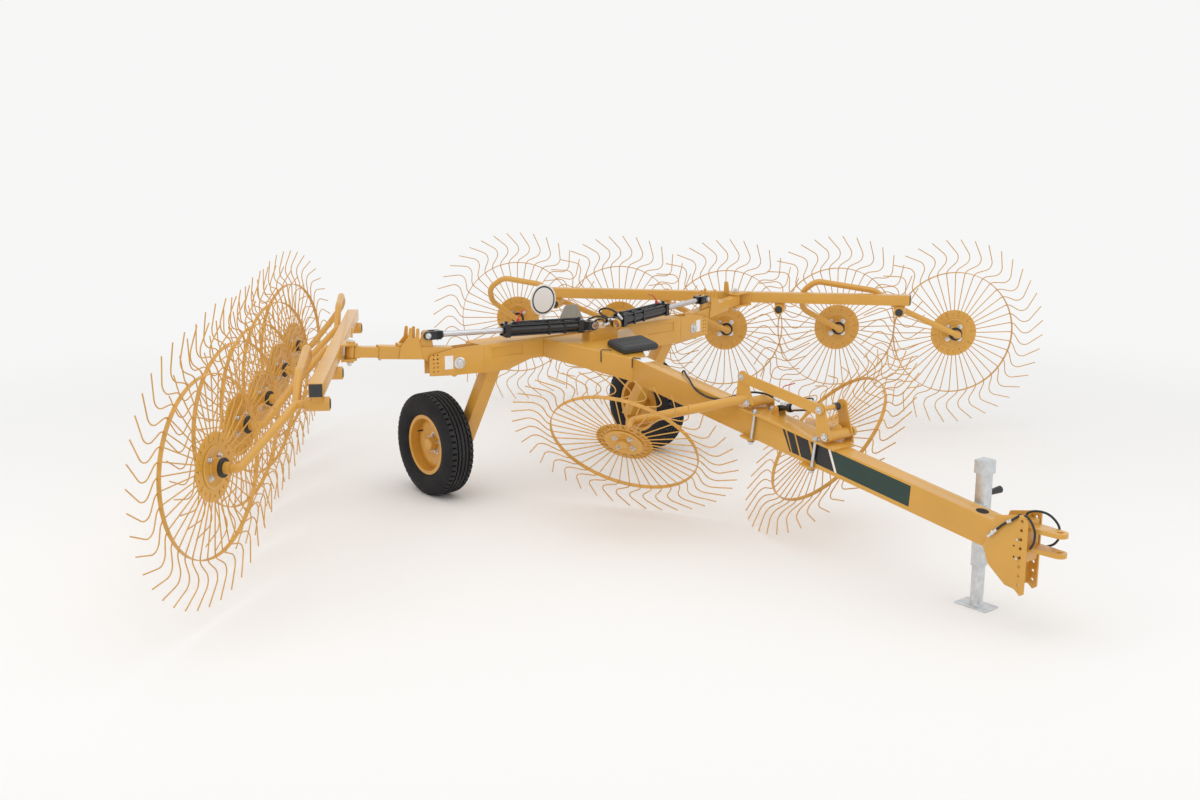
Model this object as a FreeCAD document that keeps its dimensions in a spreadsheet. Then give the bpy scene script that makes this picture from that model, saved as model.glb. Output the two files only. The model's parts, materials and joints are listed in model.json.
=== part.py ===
"""Carted V wheel rake: two tined rake beams on telescopic lift arms, two kicker wheels and a jack.

Millimetres. +X points to the hitch, +Y to the machine's left and +Z up. Heights are above the ground.
Lengthwise places are measured from the axle, which stands at axle_x in the part's own frame.
The left half is modelled, and its pieces are mirrored to the right.
"""

import FreeCAD, Part
import math
import os
import re

import Sketcher

Vector = FreeCAD.Vector
Rotation = FreeCAD.Rotation
Placement = FreeCAD.Placement

SIZES = {
    # places and fits
    "axle_x": -946,
    "pin_clearance": 0.05,
    "slide_clearance": 0.6,
    "seat_gap": 0.3,
    "side_clearance": 6,
    # ground wheels
    "tyre_radius": 343,
    "tyre_width": 205,
    "tread_width": 158,
    "track_half": 934,
    "rim_radius": 184,
    "rim_wall": 8,
    "rim_width": 152,
    "flange_height": 16,
    "flange_thickness": 6,
    "wheel_hub_radius": 45,
    "wheel_hub_depth": 70,
    "wheel_disc": 8,
    "spindle_radius": 25,
    # cross frame and its legs
    "frame_front": 460,
    "frame_depth": 200,
    "frame_half": 848,
    "frame_top": 1058,
    "frame_under": 925,
    "arch_inner": 475,
    "arch_outer": 655,
    "arch_under": 876,
    "panel_inner": 538,
    "panel_width": 241,
    "panel_low": 967,
    "panel_height": 61,
    "panel_depth": 6,
    "leg_inner": 700,
    "leg_width": 100,
    "leg_front": 434,
    "leg_rake": 0.608,
    "leg_run": 92,
    "leg_foot": 300,
    "leg_boss_radius": 42,
    "leg_boss_length": 32,
    # tongue
    "gusset_half": 376,
    "gusset_top": 1049,
    "tongue_rear": 987,
    "tongue_front": 3760,
    "tongue_top": 951,
    "tongue_fall": 0.149,
    "tongue_width": 112,
    "tongue_height": 152,
    "tongue_wall": 6,
    "tongue_window_x": 3608,
    "tongue_window_radius": 17,
    # arm brackets at the frame's ends
    "bracket_sweep": 14,
    "bracket_plate": 10,
    "bracket_length": 355,
    "bracket_low": 882,
    "bracket_high": 1062,
    "bracket_tip_high": 1022,
    "bracket_reach_back": 40,
    "arm_gap": "=sleeve_size + 2 * side_clearance",
    "arm_pin_out": 160,
    "arm_pin_height": 958,
    "arm_pin_radius": 20,
    "washer_radius": 36,
    "washer_thickness": 6,
    "rivet_hole_radius": 6,
    "rivet_pitch": 26,
    # lift arms
    "arm_rise": 5.2,
    "arm_axis_height": 56,
    "sleeve_start": 45,
    "sleeve_end": 516,
    "sleeve_size": 78,
    "sleeve_wall": 6.5,
    "arm_tube_start": 200,
    "arm_tube_wall": 6,
    "hinge_bush_radius": 34,
    "hinge_bush_length": "=sleeve_size - 2",
    "beam_bolt_out": 688,
    "beam_bolt_radius": 16,
    "beam_bush_radius": 32,
    "beam_bush_height": 80,
    "rod_pin_along": 214.5,
    "rod_pin_up": 166.2,
    "lug_plate": 10,
    "prong_width": 22,
    "prong_gap": 18,
    # lift cylinders
    "cylinder_eye_radius": 30,
    "cylinder_eye_width": 40,
    "cylinder_pin_radius": 15,
    "cylinder_base_back": "=frame_half + 81",
    "cylinder_base_rise": 167,
    "barrel_start": 58,
    "barrel_length": 620,
    "barrel_radius": 38,
    "barrel_cap": 88,
    "barrel_cap_length": 34,
    "rod_radius": 17.5,
    "rod_inner_end": 430,
    # rake beams
    "beam_ref_x": 1205,
    "beam_ref_y": "=frame_half + 1487",
    "beam_angle": 33.31,
    "beam_offset": "=beam_size / 2 + 25",
    "beam_size": 76,
    "beam_wall": 6,
    "beam_height": 1114.4,
    "beam_fall": 1.26,
    "beam_front": 71,
    "beam_rear": -2760,
    "yoke_plate": 12,
    "pivot_pitch": 890,
    "pivot_drop": 84,
    "pivot_tube_radius": 38,
    "pivot_bore_radius": 24,
    "pivot_tube_length": 130,
    # rake wheels and the arms that carry them
    "wheel_axis_angle": 144,
    "hub_reach": 541,
    "rake_hub_height_front": 808,
    "rake_hub_height_rear": 755,
    "hub_plate_radius": 177,
    "hub_plate": 6,
    "hub_boss_radius": 44,
    "hub_boss_length": 62,
    "hub_bore_radius": 15.05,
    "ring_radius": 465,
    "ring_band": 5,
    "ring_width": 24,
    "ring_set": 30,
    "tine_count": 40,
    "tine_size": 7,
    "tine_bend_radius": 475,
    "tine_bend": 57,
    "tine_middle": 150,
    "tine_hook": 90,
    "tine_end": 183,
    "arm_tube_radius": 22,
    "arm_plane": 173,
    "arch_outer_plane": 260,
    "arm_collar_depth": 34,
    "first_wheel_ahead": 0.421,
    # kicker wheels
    "kicker_rear_x": 2033,
    "kicker_rear_z": 851,
    "kicker_lever_back": 41,
    "kicker_lever_rise": 148,
    "kicker_link_length": 598,
    "kicker_link_fall": 88,
    "kicker_tube_radius": 30,
    "kicker_shaft_radius": 18,
    "kicker_near": 75,
    "kicker_plate": 10,
    "mount_width": 172,
    "mount_plate": 12,
    "kicker_arm_radius": 28,
    "kicker_far": 110,
    "kicker_collar_depth": 34,
    "kicker_bolt_radius": 9,
    "kicker_hub_height": 560,
    "kicker_right_hub_x": 1401,
    "kicker_right_hub_y": -480,
    "kicker_left_hub_x": 2090,
    "kicker_left_hub_y": 547,
    "kicker_axis_ahead": 0.35,
    "kicker_axis_out": 0.67,
    "kicker_axis_down": 0.66,
    "kicker_cylinder_x": 2164,
    "kicker_cylinder_y": 50,
    "kicker_cylinder_z": 823,
    "kicker_eye_radius": 19,
    "kicker_eye_width": 30,
    "kicker_pin_radius": 10,
    "kicker_barrel_radius": 22,
    "kicker_barrel_start": 68,
    "kicker_barrel_length": 216,
    "kicker_rod_radius": 10,
    # hitch and jack
    "hitch_plate": 10,
    "clevis_tang": 22,
    "clevis_centre": 498,
    "channel_front": "=tongue_front + 146",
    "channel_depth": 61,
    "channel_low": 240,
    "channel_high": 600,
    "channel_hole_radius": 8,
    "channel_hole_pitch": 46.4,
    "clevis_gap": 78,
    "hitch_pin_x": "=tongue_front + 289",
    "hitch_pin_radius": 16,
    "jack_x": 3522,
    "jack_y": 125,
    "jack_size": 60,
    "jack_low": 220,
    "jack_high": 789,
    "jack_cap": 77,
    "jack_grip_height": 599,
    "jack_cap_height": 71,
    "jack_crank_y": 48,
    "jack_grip_radius": 11,
    "jack_grip_length": 90,
    "jack_mount_low": 430,
    "jack_mount_height": 130,
    "jack_leg_size": 50,
    "foot_length": 195,
    "foot_width": 115,
    "foot_plate": 8,
    # round sign and rear marker
    "sign_behind": 80,
    "sign_y": -162,
    "sign_height": 1247,
    "sign_radius": 100,
    "marker_behind": 66,
    "marker_low": 1000,
    # manual box
    "box_x": 855,
    "box_y": 35,
    "box_length": 230,
    "box_width": 244,
    "box_height": 43,
    "lid_height": 22,
    "lid_lip": 4,
}

doc = FreeCAD.newDocument("wheel_rake")
sheet = doc.addObject("Spreadsheet::Sheet", "Sheet")
for row, alias in enumerate(SIZES, start=1):
    sheet.set(f"A{row}", alias)
    sheet.setAlias(f"B{row}", alias)
for alias, size in SIZES.items():
    sheet.set(alias, str(size))
doc.recompute()

nodes = []


# ---- expressions and places ----

def cells(expression):
    """The expression with each size's name written as a cell of the sheet."""
    return re.sub(r"[a-z]+(?:_[a-z0-9]+)+", r"Sheet.\g<0>", str(expression))


def value(expression):
    """The number that an expression of the sheet's sizes gives now."""
    return float(sheet.evalExpression(cells(expression)))


def from_axle(x, y, z):
    """A point whose lengthwise place is measured from the axle."""
    return Vector(value(x) + value("axle_x"), value(y), value(z))


def turn_to(x_axis, y_axis):
    """The rotation that brings X and Y to these two square directions."""
    return Rotation(x_axis, y_axis, x_axis.cross(y_axis), "XYZ")


# ---- features ----

def body(label, origin=None, rotation=None):
    """A new body that is one sub-part of the rake."""
    piece = doc.addObject("PartDesign::Body", label)
    piece.Label = label
    piece.Placement = Placement(origin or from_axle(0, 0, 0), rotation or Rotation())
    nodes.append(piece)
    return piece


def sketch(piece, plane, lift=0, place=None):
    """An empty sketch on an origin plane of the piece, lifted along its normal or placed freely."""
    drawing = piece.newObject("Sketcher::SketchObject", piece.Label + "_sketch")
    support = next(o for o in piece.Origin.OriginFeatures if o.Role == plane)
    drawing.AttachmentSupport = [(support, "")]
    drawing.MapMode = "FlatFace"
    if place:
        drawing.AttachmentOffset = place
    else:
        drawing.setExpression("AttachmentOffset.Base.z", cells(lift))
    return drawing


def hold(drawing, kind, *where, size):
    """A constraint whose size follows the sheet."""
    index = drawing.addConstraint(Sketcher.Constraint(kind, *where, value(size)))
    drawing.setExpression(f"Constraints[{index}]", cells(size))


def outline(drawing, points):
    """A closed outline. A point is (x, y), or (x, y, via_x, via_y) where an arc leads to it."""
    first = len(drawing.Geometry)
    ends = [Vector(value(p[0]), value(p[1]), 0) for p in points]
    starts = []
    for index, point in enumerate(points):
        start, end = ends[index - 1], ends[index]
        if len(point) == 4:
            via = Vector(value(point[2]), value(point[3]), 0)
            drawing.addGeometry(Part.Arc(start, via, end), False)
        else:
            drawing.addGeometry(Part.LineSegment(start, end), False)
        placed = drawing.Geometry[first + index]
        forward = placed.StartPoint.distanceToPoint(start) < placed.StartPoint.distanceToPoint(end)
        starts.append(1 if forward else 2)
        if len(point) == 4:
            level = abs(end.x - start.x) > abs(end.y - start.y)
            kind, middle = ("DistanceY", placed.Center.y) if level else ("DistanceX", placed.Center.x)
            drawing.addConstraint(Sketcher.Constraint(kind, -1, 1, first + index, 3, middle))
    for index, point in enumerate(points):
        after = (index + 1) % len(points)
        finish = 3 - starts[index]
        drawing.addConstraint(
            Sketcher.Constraint("Coincident", first + index, finish, first + after, starts[after])
        )
        hold(drawing, "DistanceX", -1, 1, first + index, finish, size=point[0])
        hold(drawing, "DistanceY", -1, 1, first + index, finish, size=point[1])


def rectangle(drawing, x_low, x_high, y_low, y_high):
    """A rectangle between four sizes."""
    outline(drawing, [(x_low, y_low), (x_high, y_low), (x_high, y_high), (x_low, y_high)])


def circle(drawing, x, y, radius):
    """A circle with its centre and radius held by the sheet."""
    centre = Vector(value(x), value(y), 0)
    index = drawing.addGeometry(Part.Circle(centre, Vector(0, 0, 1), value(radius)), False)
    hold(drawing, "DistanceX", -1, 1, index, 3, size=x)
    hold(drawing, "DistanceY", -1, 1, index, 3, size=y)
    hold(drawing, "Radius", index, size=radius)


def extrude(piece, kind, drawing, length, back=False, middle=False):
    """A pad or a pocket of the sketch."""
    feature = piece.newObject("PartDesign::" + kind, piece.Label + "_" + kind.lower())
    feature.Profile = drawing
    feature.setExpression("Length", cells(length))
    feature.Reversed = back
    if middle:
        feature.SideType = "Symmetric"
    drawing.Visibility = False
    return feature


def pad(piece, drawing, length, back=False, middle=False):
    """Material added along the sketch's normal, against it or to both sides."""
    return extrude(piece, "Pad", drawing, length, back, middle)


def pocket(piece, drawing, length, back=False, middle=False):
    """Material taken away against the sketch's normal, along it or to both sides."""
    doc.recompute()
    before = piece.Shape.Volume
    feature = extrude(piece, "Pocket", drawing, length, back, middle)
    doc.recompute()
    if piece.Shape.Volume > before - 1:
        raise ValueError("a pocket of " + piece.Label + " cuts nothing")
    return feature


def revolve(piece, drawing, axis):
    """A full turn of the sketch about one of the piece's own axes."""
    feature = piece.newObject("PartDesign::Revolution", piece.Label + "_revolution")
    feature.Profile = drawing
    feature.ReferenceAxis = (next(o for o in piece.Origin.OriginFeatures if o.Role == axis), [""])
    feature.Angle = 360
    drawing.Visibility = False
    return feature


def mirror(piece):
    """The right-hand twin of a left-hand piece."""
    label = piece.Label.replace("left", "right")
    twin = doc.addObject("Part::Mirroring", label)
    twin.Label = label
    twin.Source = piece
    twin.Base = Vector(0, 0, 0)
    twin.Normal = Vector(0, 1, 0)
    nodes.append(twin)
    return twin


def solid(label, shape, placement=None):
    """A sub-part whose shape no sketch gives, set in place."""
    piece = doc.addObject("Part::Feature", label)
    piece.Label = label
    piece.Shape = shape
    piece.Placement = placement or Placement()
    nodes.append(piece)
    return piece


# ---- frame ----

def make_cross_frame():
    frame = body("cross_frame", from_axle("frame_front", 0, 0))
    arch = sketch(frame, "YZ_Plane")
    outline(arch, [
        ("-frame_half", "frame_top"), ("-frame_half", "arch_under"), ("-arch_outer", "arch_under"),
        ("-arch_inner", "frame_under"), ("arch_inner", "frame_under"), ("arch_outer", "arch_under"),
        ("frame_half", "arch_under"), ("frame_half", "frame_top"),
    ])
    pad(frame, arch, "frame_depth", back=True)
    for start in ("panel_inner", "-panel_inner - panel_width"):
        panel = sketch(frame, "YZ_Plane")
        rectangle(panel, start, start + " + panel_width", "panel_low", "panel_low + panel_height")
        pocket(frame, panel, "panel_depth")


def make_leg():
    leg = body("frame_leg_left")
    side = sketch(leg, "XZ_Plane", "-leg_inner")
    foot = "leg_front - leg_rake * (arch_under - leg_foot)"
    outline(side, [
        ("leg_front", "arch_under"), ("leg_front - leg_run", "arch_under"),
        (foot + " - leg_run", "leg_foot"), (foot, "leg_foot"),
    ])
    pad(leg, side, "leg_width", back=True)
    for radius, length in (
        ("leg_boss_radius", "leg_boss_length"),
        ("spindle_radius", "track_half - leg_inner - leg_width"),
    ):
        round_end = sketch(leg, "XZ_Plane", "-leg_inner - leg_width")
        circle(round_end, 0, "tyre_radius", radius)
        pad(leg, round_end, length, back=True)
    mirror(leg)


def tongue_z(x, below=0):
    """The height of the tongue's top at x, less a depth below it."""
    return f"tongue_top - tongue_fall * (({x}) - tongue_rear) - ({below})"


def gusset_z(x):
    """The height of the gusset's top at x."""
    return f"gusset_top - (gusset_top - tongue_top) / (tongue_rear - frame_front) * (({x}) - frame_front)"


def make_gusset():
    gusset = body("tongue_gusset")
    plan = sketch(gusset, "XY_Plane", "tongue_top - tongue_height")
    outline(plan, [
        ("frame_front", "-gusset_half"), ("tongue_rear", "-tongue_width / 2"),
        ("tongue_rear", "tongue_width / 2"), ("frame_front", "gusset_half"),
    ])
    pad(gusset, plan, "gusset_top - tongue_top + tongue_height")
    for rear, front, beyond in (
        ("gusset_top", "tongue_top", "gusset_top + 10"),
        ("frame_under", "tongue_top - tongue_height", "tongue_top - tongue_height - 10"),
    ):
        slope = sketch(gusset, "XZ_Plane")
        outline(slope, [
            ("frame_front", rear), ("tongue_rear", front), ("tongue_rear + 10", front),
            ("tongue_rear + 10", beyond), ("frame_front - 10", beyond), ("frame_front - 10", rear),
        ])
        pocket(gusset, slope, "3 * gusset_half", middle=True)


def make_tongue():
    tongue = body("tongue")
    for label, ahead, wall in (("Pad", "0", "0"), ("Pocket", "1", "tongue_wall")):
        rear, front = f"tongue_rear - {ahead}", f"tongue_front + {ahead}"
        side = sketch(tongue, "XZ_Plane")
        outline(side, [
            (rear, tongue_z(rear, wall)), (front, tongue_z(front, wall)),
            (front, tongue_z(front, f"tongue_height - {wall}")),
            (rear, tongue_z(rear, f"tongue_height - {wall}")),
        ])
        if label == "Pad":
            pad(tongue, side, "tongue_width", middle=True)
        else:
            pocket(tongue, side, f"tongue_width - 2 * {wall}", middle=True)
    window = sketch(tongue, "XY_Plane", tongue_z("tongue_window_x", "-40"))
    circle(window, "tongue_window_x", 0, "tongue_window_radius")
    pocket(tongue, window, 70)


# ---- ground wheels ----

def make_ground_wheel():
    hub = from_axle(0, "track_half", "tyre_radius")
    seat, rim_half = "rim_radius + seat_gap", "rim_width / 2"
    bead = "rim_width / 2 - flange_thickness - seat_gap"
    flange = "rim_radius + flange_height"
    tyre = body("tyre_left", hub)
    section = sketch(tyre, "XY_Plane")
    shoulder = "tyre_radius - 14"
    outline(section, [
        (seat, f"-({bead})"), (flange + " + 3", f"-({bead})"), (flange + " + 6", "-rim_width / 2 - 3"),
        (shoulder, "-tread_width / 2 - 12", "tyre_radius * 0.79", "-tyre_width / 2"),
        ("tyre_radius", "-tread_width / 2 + 14"), ("tyre_radius", "tread_width / 2 - 14"),
        (shoulder, "tread_width / 2 + 12"),
        (flange + " + 6", "rim_width / 2 + 3", "tyre_radius * 0.79", "tyre_width / 2"),
        (flange + " + 3", bead), (seat, bead),
    ])
    revolve(tyre, section, "Y_Axis")
    mirror(tyre)

    rim = body("rim_left", hub)
    section = sketch(rim, "XY_Plane")
    bore, well = "spindle_radius + pin_clearance", "rim_radius - rim_wall"
    inner = "rim_width / 2 - flange_thickness"
    outline(section, [
        (bore, "-wheel_hub_depth"), ("wheel_hub_radius", "-wheel_hub_depth"), ("wheel_hub_radius", 0),
        (well, 0), (well, f"-{rim_half}"), (flange, f"-{rim_half}"), (flange, f"-({inner})"),
        ("rim_radius", f"-({inner})"), ("rim_radius", inner), (flange, inner), (flange, rim_half),
        (well, rim_half), (well, "wheel_disc"), ("wheel_hub_radius", "wheel_disc"),
        ("wheel_hub_radius - 8", 42), (0, 42), (0, "side_clearance"), (bore, "side_clearance"),
    ])
    revolve(rim, section, "Y_Axis")
    mirror(rim)


# ---- lift arms ----

def sweep_axes():
    """The directions out along a left lift arm in plan, and forward along its hinge pin."""
    angle = math.radians(value("bracket_sweep"))
    return Vector(-math.sin(angle), math.cos(angle), 0), Vector(math.cos(angle), math.sin(angle), 0)


def arm_pin_centre():
    """The middle of the left arm's hinge pin."""
    out, ahead = sweep_axes()
    corner = from_axle("frame_front", "frame_half", "arm_pin_height")
    return corner + out * value("arm_pin_out") - ahead * value("bracket_plate + arm_gap / 2")


def arm_axes():
    """The left arm's own directions: along it, rearward and up."""
    out, ahead = sweep_axes()
    rise = math.radians(value("arm_rise"))
    along = out * math.cos(rise) + Vector(0, 0, math.sin(rise))
    return along, -ahead, along.cross(-ahead)


def make_arm_bracket():
    bracket = body("arm_bracket_left", from_axle("frame_front", "frame_half", 0))
    out, ahead = sweep_axes()
    face = turn_to(out, Vector(0, 0, 1))
    depth = "arm_gap + 2 * bracket_plate"
    side = sketch(bracket, "XY_Plane", place=Placement(Vector(), face))
    outline(side, [
        ("-bracket_reach_back", "bracket_low"), ("bracket_length * 0.5", "bracket_low"),
        ("bracket_length * 0.6", "bracket_low", "bracket_length * 0.55", "bracket_low - 10"),
        ("bracket_length", "bracket_low + 6"), ("bracket_length", "bracket_tip_high - 14"),
        ("bracket_length - 14", "bracket_tip_high"), ("bracket_length * 0.55", "bracket_high - 12"),
        ("-bracket_reach_back", "bracket_high"),
    ])
    pad(bracket, side, depth, back=True)

    def plan_point(wall_y, behind):
        """Where a line behind the front face meets a plane wall_y outside the frame's end."""
        along = f"(({wall_y}) + ({behind}) * sin(bracket_sweep)) / cos(bracket_sweep)"
        return (f"-({behind}) * cos(bracket_sweep) - ({along}) * sin(bracket_sweep)", wall_y)

    gap = sketch(bracket, "XY_Plane", "bracket_high + side_clearance")
    outline(gap, [
        plan_point("bracket_plate", "bracket_plate"), plan_point("bracket_plate", "bracket_plate + arm_gap"),
        plan_point("bracket_length + arm_gap", "bracket_plate + arm_gap"),
        plan_point("bracket_length + arm_gap", "bracket_plate"),
    ])
    pocket(bracket, gap, "bracket_high")
    trim = sketch(bracket, "XY_Plane", "bracket_high + side_clearance")
    rectangle(trim, "-frame_depth", "frame_depth", "-frame_depth", 0)
    pocket(bracket, trim, "bracket_high")
    rivets = sketch(bracket, "XY_Plane", place=Placement(Vector(), face))
    for column in range(2):
        for line in range(5):
            circle(
                rivets, f"bracket_length - 26 - {column} * rivet_pitch",
                f"bracket_low + 32 + {line} * rivet_pitch", "rivet_hole_radius",
            )
    pocket(bracket, rivets, "bracket_plate")
    for radius, start, length in (
        ("arm_pin_radius", 20, "arm_gap + 2 * bracket_plate + 40"),
        ("washer_radius", "washer_thickness", "washer_thickness + bracket_plate"),
    ):
        pin = sketch(bracket, "XY_Plane", place=Placement(ahead * value(start), face))
        circle(pin, "arm_pin_out", "arm_pin_height", radius)
        pad(bracket, pin, length, back=True)
    mirror(bracket)


def make_lift_arm():
    centre = arm_pin_centre()
    along, behind, up = arm_axes()
    upright = turn_to(along, behind)
    low, high = "arm_axis_height - sleeve_size / 2", "arm_axis_height + sleeve_size / 2"

    sleeve = body("arm_sleeve_left", centre, upright)
    tube = sketch(sleeve, "YZ_Plane", "sleeve_start")
    rectangle(tube, "-sleeve_size / 2", "sleeve_size / 2", low, high)
    pad(sleeve, tube, "sleeve_end - sleeve_start")
    neck = sketch(sleeve, "XZ_Plane")
    outline(neck, [
        ("-hinge_bush_radius + 2", 10), (-14, "4 - hinge_bush_radius", -30, -18),
        ("hinge_bush_radius", "-hinge_bush_radius"), (240, low), ("sleeve_start + 8", low),
        ("sleeve_start + 8", "arm_axis_height"), ("sleeve_start", high), (10, 60),
    ])
    pad(sleeve, neck, "sleeve_size - 4", middle=True)
    bush = sketch(sleeve, "XZ_Plane")
    circle(bush, 0, 0, "hinge_bush_radius")
    pad(sleeve, bush, "hinge_bush_length", middle=True)
    cheek = sketch(sleeve, "XZ_Plane")
    comb = [(150, high), (392, high)]
    for prong in range(3):
        edge = f"385 - {prong} * (prong_width + prong_gap)"
        comb += [
            (edge, "rod_pin_up + 48"), (f"{edge} - prong_width", "rod_pin_up + 48"),
            (f"{edge} - prong_width - 3", "rod_pin_up"), (f"{edge} - prong_width - prong_gap", "rod_pin_up"),
        ]
    comb += [
        ("rod_pin_along + 26", "rod_pin_up + 12"),
        ("rod_pin_along - 26", "rod_pin_up + 12", "rod_pin_along", "rod_pin_up + 30"),
    ]
    outline(cheek, comb)
    pad(sleeve, cheek, "cylinder_eye_width + 2 * side_clearance + 2 * lug_plate", middle=True)
    between = sketch(sleeve, "XZ_Plane")
    rectangle(between, 140, 400, high, "rod_pin_up + 60")
    pocket(sleeve, between, "cylinder_eye_width + 2 * side_clearance", middle=True)
    hollow = sketch(sleeve, "YZ_Plane", "sleeve_end + 1")
    rectangle(
        hollow, "-sleeve_size / 2 + sleeve_wall", "sleeve_size / 2 - sleeve_wall",
        low + " + sleeve_wall", high + " - sleeve_wall",
    )
    pocket(sleeve, hollow, "sleeve_end - sleeve_start - 30")
    bore = sketch(sleeve, "XZ_Plane")
    circle(bore, 0, 0, "arm_pin_radius + pin_clearance")
    pocket(sleeve, bore, "hinge_bush_length + 20", middle=True)
    mirror(sleeve)

    half = "(sleeve_size - 2 * sleeve_wall - 2 * slide_clearance) / 2"
    slider = body("arm_tube_left", centre, upright)
    tube = sketch(slider, "YZ_Plane", "arm_tube_start")
    rectangle(tube, f"-{half}", half, f"arm_axis_height - {half}", f"arm_axis_height + {half}")
    rectangle(
        tube, f"-{half} + arm_tube_wall", f"{half} - arm_tube_wall",
        f"arm_axis_height - {half} + arm_tube_wall", f"arm_axis_height + {half} - arm_tube_wall",
    )
    pad(slider, tube, "beam_bolt_out - beam_bush_radius - arm_tube_start")
    bush = sketch(slider, "XY_Plane", "arm_axis_height - beam_bush_height / 2")
    circle(bush, "beam_bolt_out", 0, "beam_bush_radius")
    circle(bush, "beam_bolt_out", 0, "beam_bolt_radius + pin_clearance")
    pad(slider, bush, "beam_bush_height")
    collar = sketch(slider, "YZ_Plane", "beam_bolt_out - beam_bush_radius - 24")
    rectangle(collar, f"-{half}", half, "arm_axis_height - 36", "arm_axis_height + 36")
    pad(slider, collar, "beam_bush_radius - beam_bolt_radius - 4 + 24")
    mirror(slider)


# ---- lift cylinders ----

def make_lift_cylinder():
    out, ahead = sweep_axes()
    along, behind, up = arm_axes()
    centre = arm_pin_centre()
    base = centre - out * value("cylinder_base_back") + Vector(0, 0, value("cylinder_base_rise"))
    eye = centre + along * value("rod_pin_along") + up * value("rod_pin_up")
    axis = (eye - base).normalize()
    reach = (eye - base).Length
    lie = turn_to(axis, -ahead)

    barrel = body("lift_barrel_left", base, lie)
    boss = sketch(barrel, "XZ_Plane")
    circle(boss, 0, 0, "cylinder_eye_radius")
    pad(barrel, boss, "cylinder_eye_width", middle=True)
    neck = sketch(barrel, "YZ_Plane")
    rectangle(
        neck, "-cylinder_eye_width / 2", "cylinder_eye_width / 2",
        "-cylinder_eye_radius * 0.8", "cylinder_eye_radius * 0.8",
    )
    pad(barrel, neck, "barrel_start + 2")
    tube = sketch(barrel, "YZ_Plane", "barrel_start")
    circle(tube, 0, 0, "barrel_radius")
    pad(barrel, tube, "barrel_length")
    for start in ("barrel_start", "barrel_start + barrel_length - barrel_cap_length"):
        cap = sketch(barrel, "YZ_Plane", start)
        rectangle(cap, "-barrel_cap / 2", "barrel_cap / 2", "-barrel_cap / 2", "barrel_cap / 2")
        pad(barrel, cap, "barrel_cap_length")
    for y_side in (-1, 1):
        for z_side in (-1, 1):
            tie = sketch(barrel, "YZ_Plane", "barrel_start")
            circle(tie, f"{y_side} * (barrel_cap / 2 - 12)", f"{z_side} * (barrel_cap / 2 - 12)", 6)
            pad(barrel, tie, "barrel_length")
    bore = sketch(barrel, "YZ_Plane", "barrel_start + barrel_length + 1")
    circle(bore, 0, 0, "rod_radius + pin_clearance")
    pocket(barrel, bore, "barrel_length - barrel_cap_length")
    hole = sketch(barrel, "XZ_Plane")
    circle(hole, 0, 0, "cylinder_pin_radius + pin_clearance")
    pocket(barrel, hole, "cylinder_eye_width + 20", middle=True)
    mirror(barrel)

    rod = body("lift_rod_left", base, lie)
    shaft = sketch(rod, "YZ_Plane", "rod_inner_end")
    circle(shaft, 0, 0, "rod_radius")
    pad(rod, shaft, f"{reach} - rod_inner_end - cylinder_pin_radius - 6")
    shank = sketch(rod, "YZ_Plane", f"{reach} - 95")
    rectangle(shank, "-cylinder_eye_width / 2", "cylinder_eye_width / 2", -24, 24)
    pad(rod, shank, 75)
    boss = sketch(rod, "XZ_Plane")
    circle(boss, reach, 0, "cylinder_eye_radius - 2")
    pad(rod, boss, "cylinder_eye_width", middle=True)
    hole = sketch(rod, "XZ_Plane")
    circle(hole, reach, 0, "cylinder_pin_radius")
    pocket(rod, hole, "cylinder_eye_width + 20", middle=True)
    mirror(rod)


def make_cylinder_tower():
    out, ahead = sweep_axes()
    base = arm_pin_centre() - out * value("cylinder_base_back") + Vector(0, 0, value("cylinder_base_rise"))
    tower = body("cylinder_tower", from_axle(0, 0, 0))
    at = base - from_axle(0, 0, 0)
    plate = sketch(tower, "XY_Plane", "gusset_top + 6")
    seat_front = at.x + 92
    rectangle(plate, "frame_front", seat_front, -170, 170)
    pad(tower, plate, 12)
    wedge = sketch(tower, "XZ_Plane")
    outline(wedge, [
        ("frame_front", "gusset_top + seat_gap"),
        (seat_front, gusset_z(seat_front) + " + seat_gap"),
        (seat_front, "gusset_top + 8"), ("frame_front", "gusset_top + 8"),
    ])
    pad(tower, wedge, 60, middle=True)
    for mirrored in (1, -1):
        direction = Vector(out.x, out.y * mirrored, 0)
        normal = Vector(ahead.x, ahead.y * mirrored, 0)
        for near in (-1, 1):
            offset = value("cylinder_eye_width / 2 + side_clearance")
            start = near * offset if near > 0 else near * (offset + value("lug_plate"))
            spot = Vector(at.x, at.y * mirrored, at.z) + normal * start
            turn = turn_to(direction * mirrored, Vector(0, 0, 1))
            lug = sketch(tower, "XY_Plane", place=Placement(spot, turn))
            outline(lug, [
                (-38, f"gusset_top + 10 - {at.z}"), (38, f"gusset_top + 10 - {at.z}"),
                ("cylinder_eye_radius", 0),
                ("-cylinder_eye_radius", 0, 0, "cylinder_eye_radius"),
            ])
            pad(tower, lug, "lug_plate")
        pin_half = value("cylinder_eye_width / 2 + side_clearance + lug_plate + 8")
        pin_spot = Vector(at.x, at.y * mirrored, at.z) - normal * pin_half
        pin = sketch(tower, "XY_Plane", place=Placement(pin_spot, turn))
        circle(pin, 0, 0, "cylinder_pin_radius")
        pad(tower, pin, "cylinder_eye_width + 2 * side_clearance + 2 * lug_plate + 16")


# ---- rake beams ----

def beam_frame():
    """The left rake beam's directions: forward along it and outward, and its point at the front pivot."""
    angle = math.radians(value("beam_angle"))
    fall = math.radians(value("beam_fall"))
    plan = Vector(math.cos(angle), math.sin(angle), 0)
    outward = Vector(-math.sin(angle), math.cos(angle), 0)
    along = plan * math.cos(fall) + Vector(0, 0, math.sin(fall))
    start = from_axle("beam_ref_x", "beam_ref_y", "beam_height") + outward * value("beam_offset")
    return start, along, outward, plan


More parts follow.
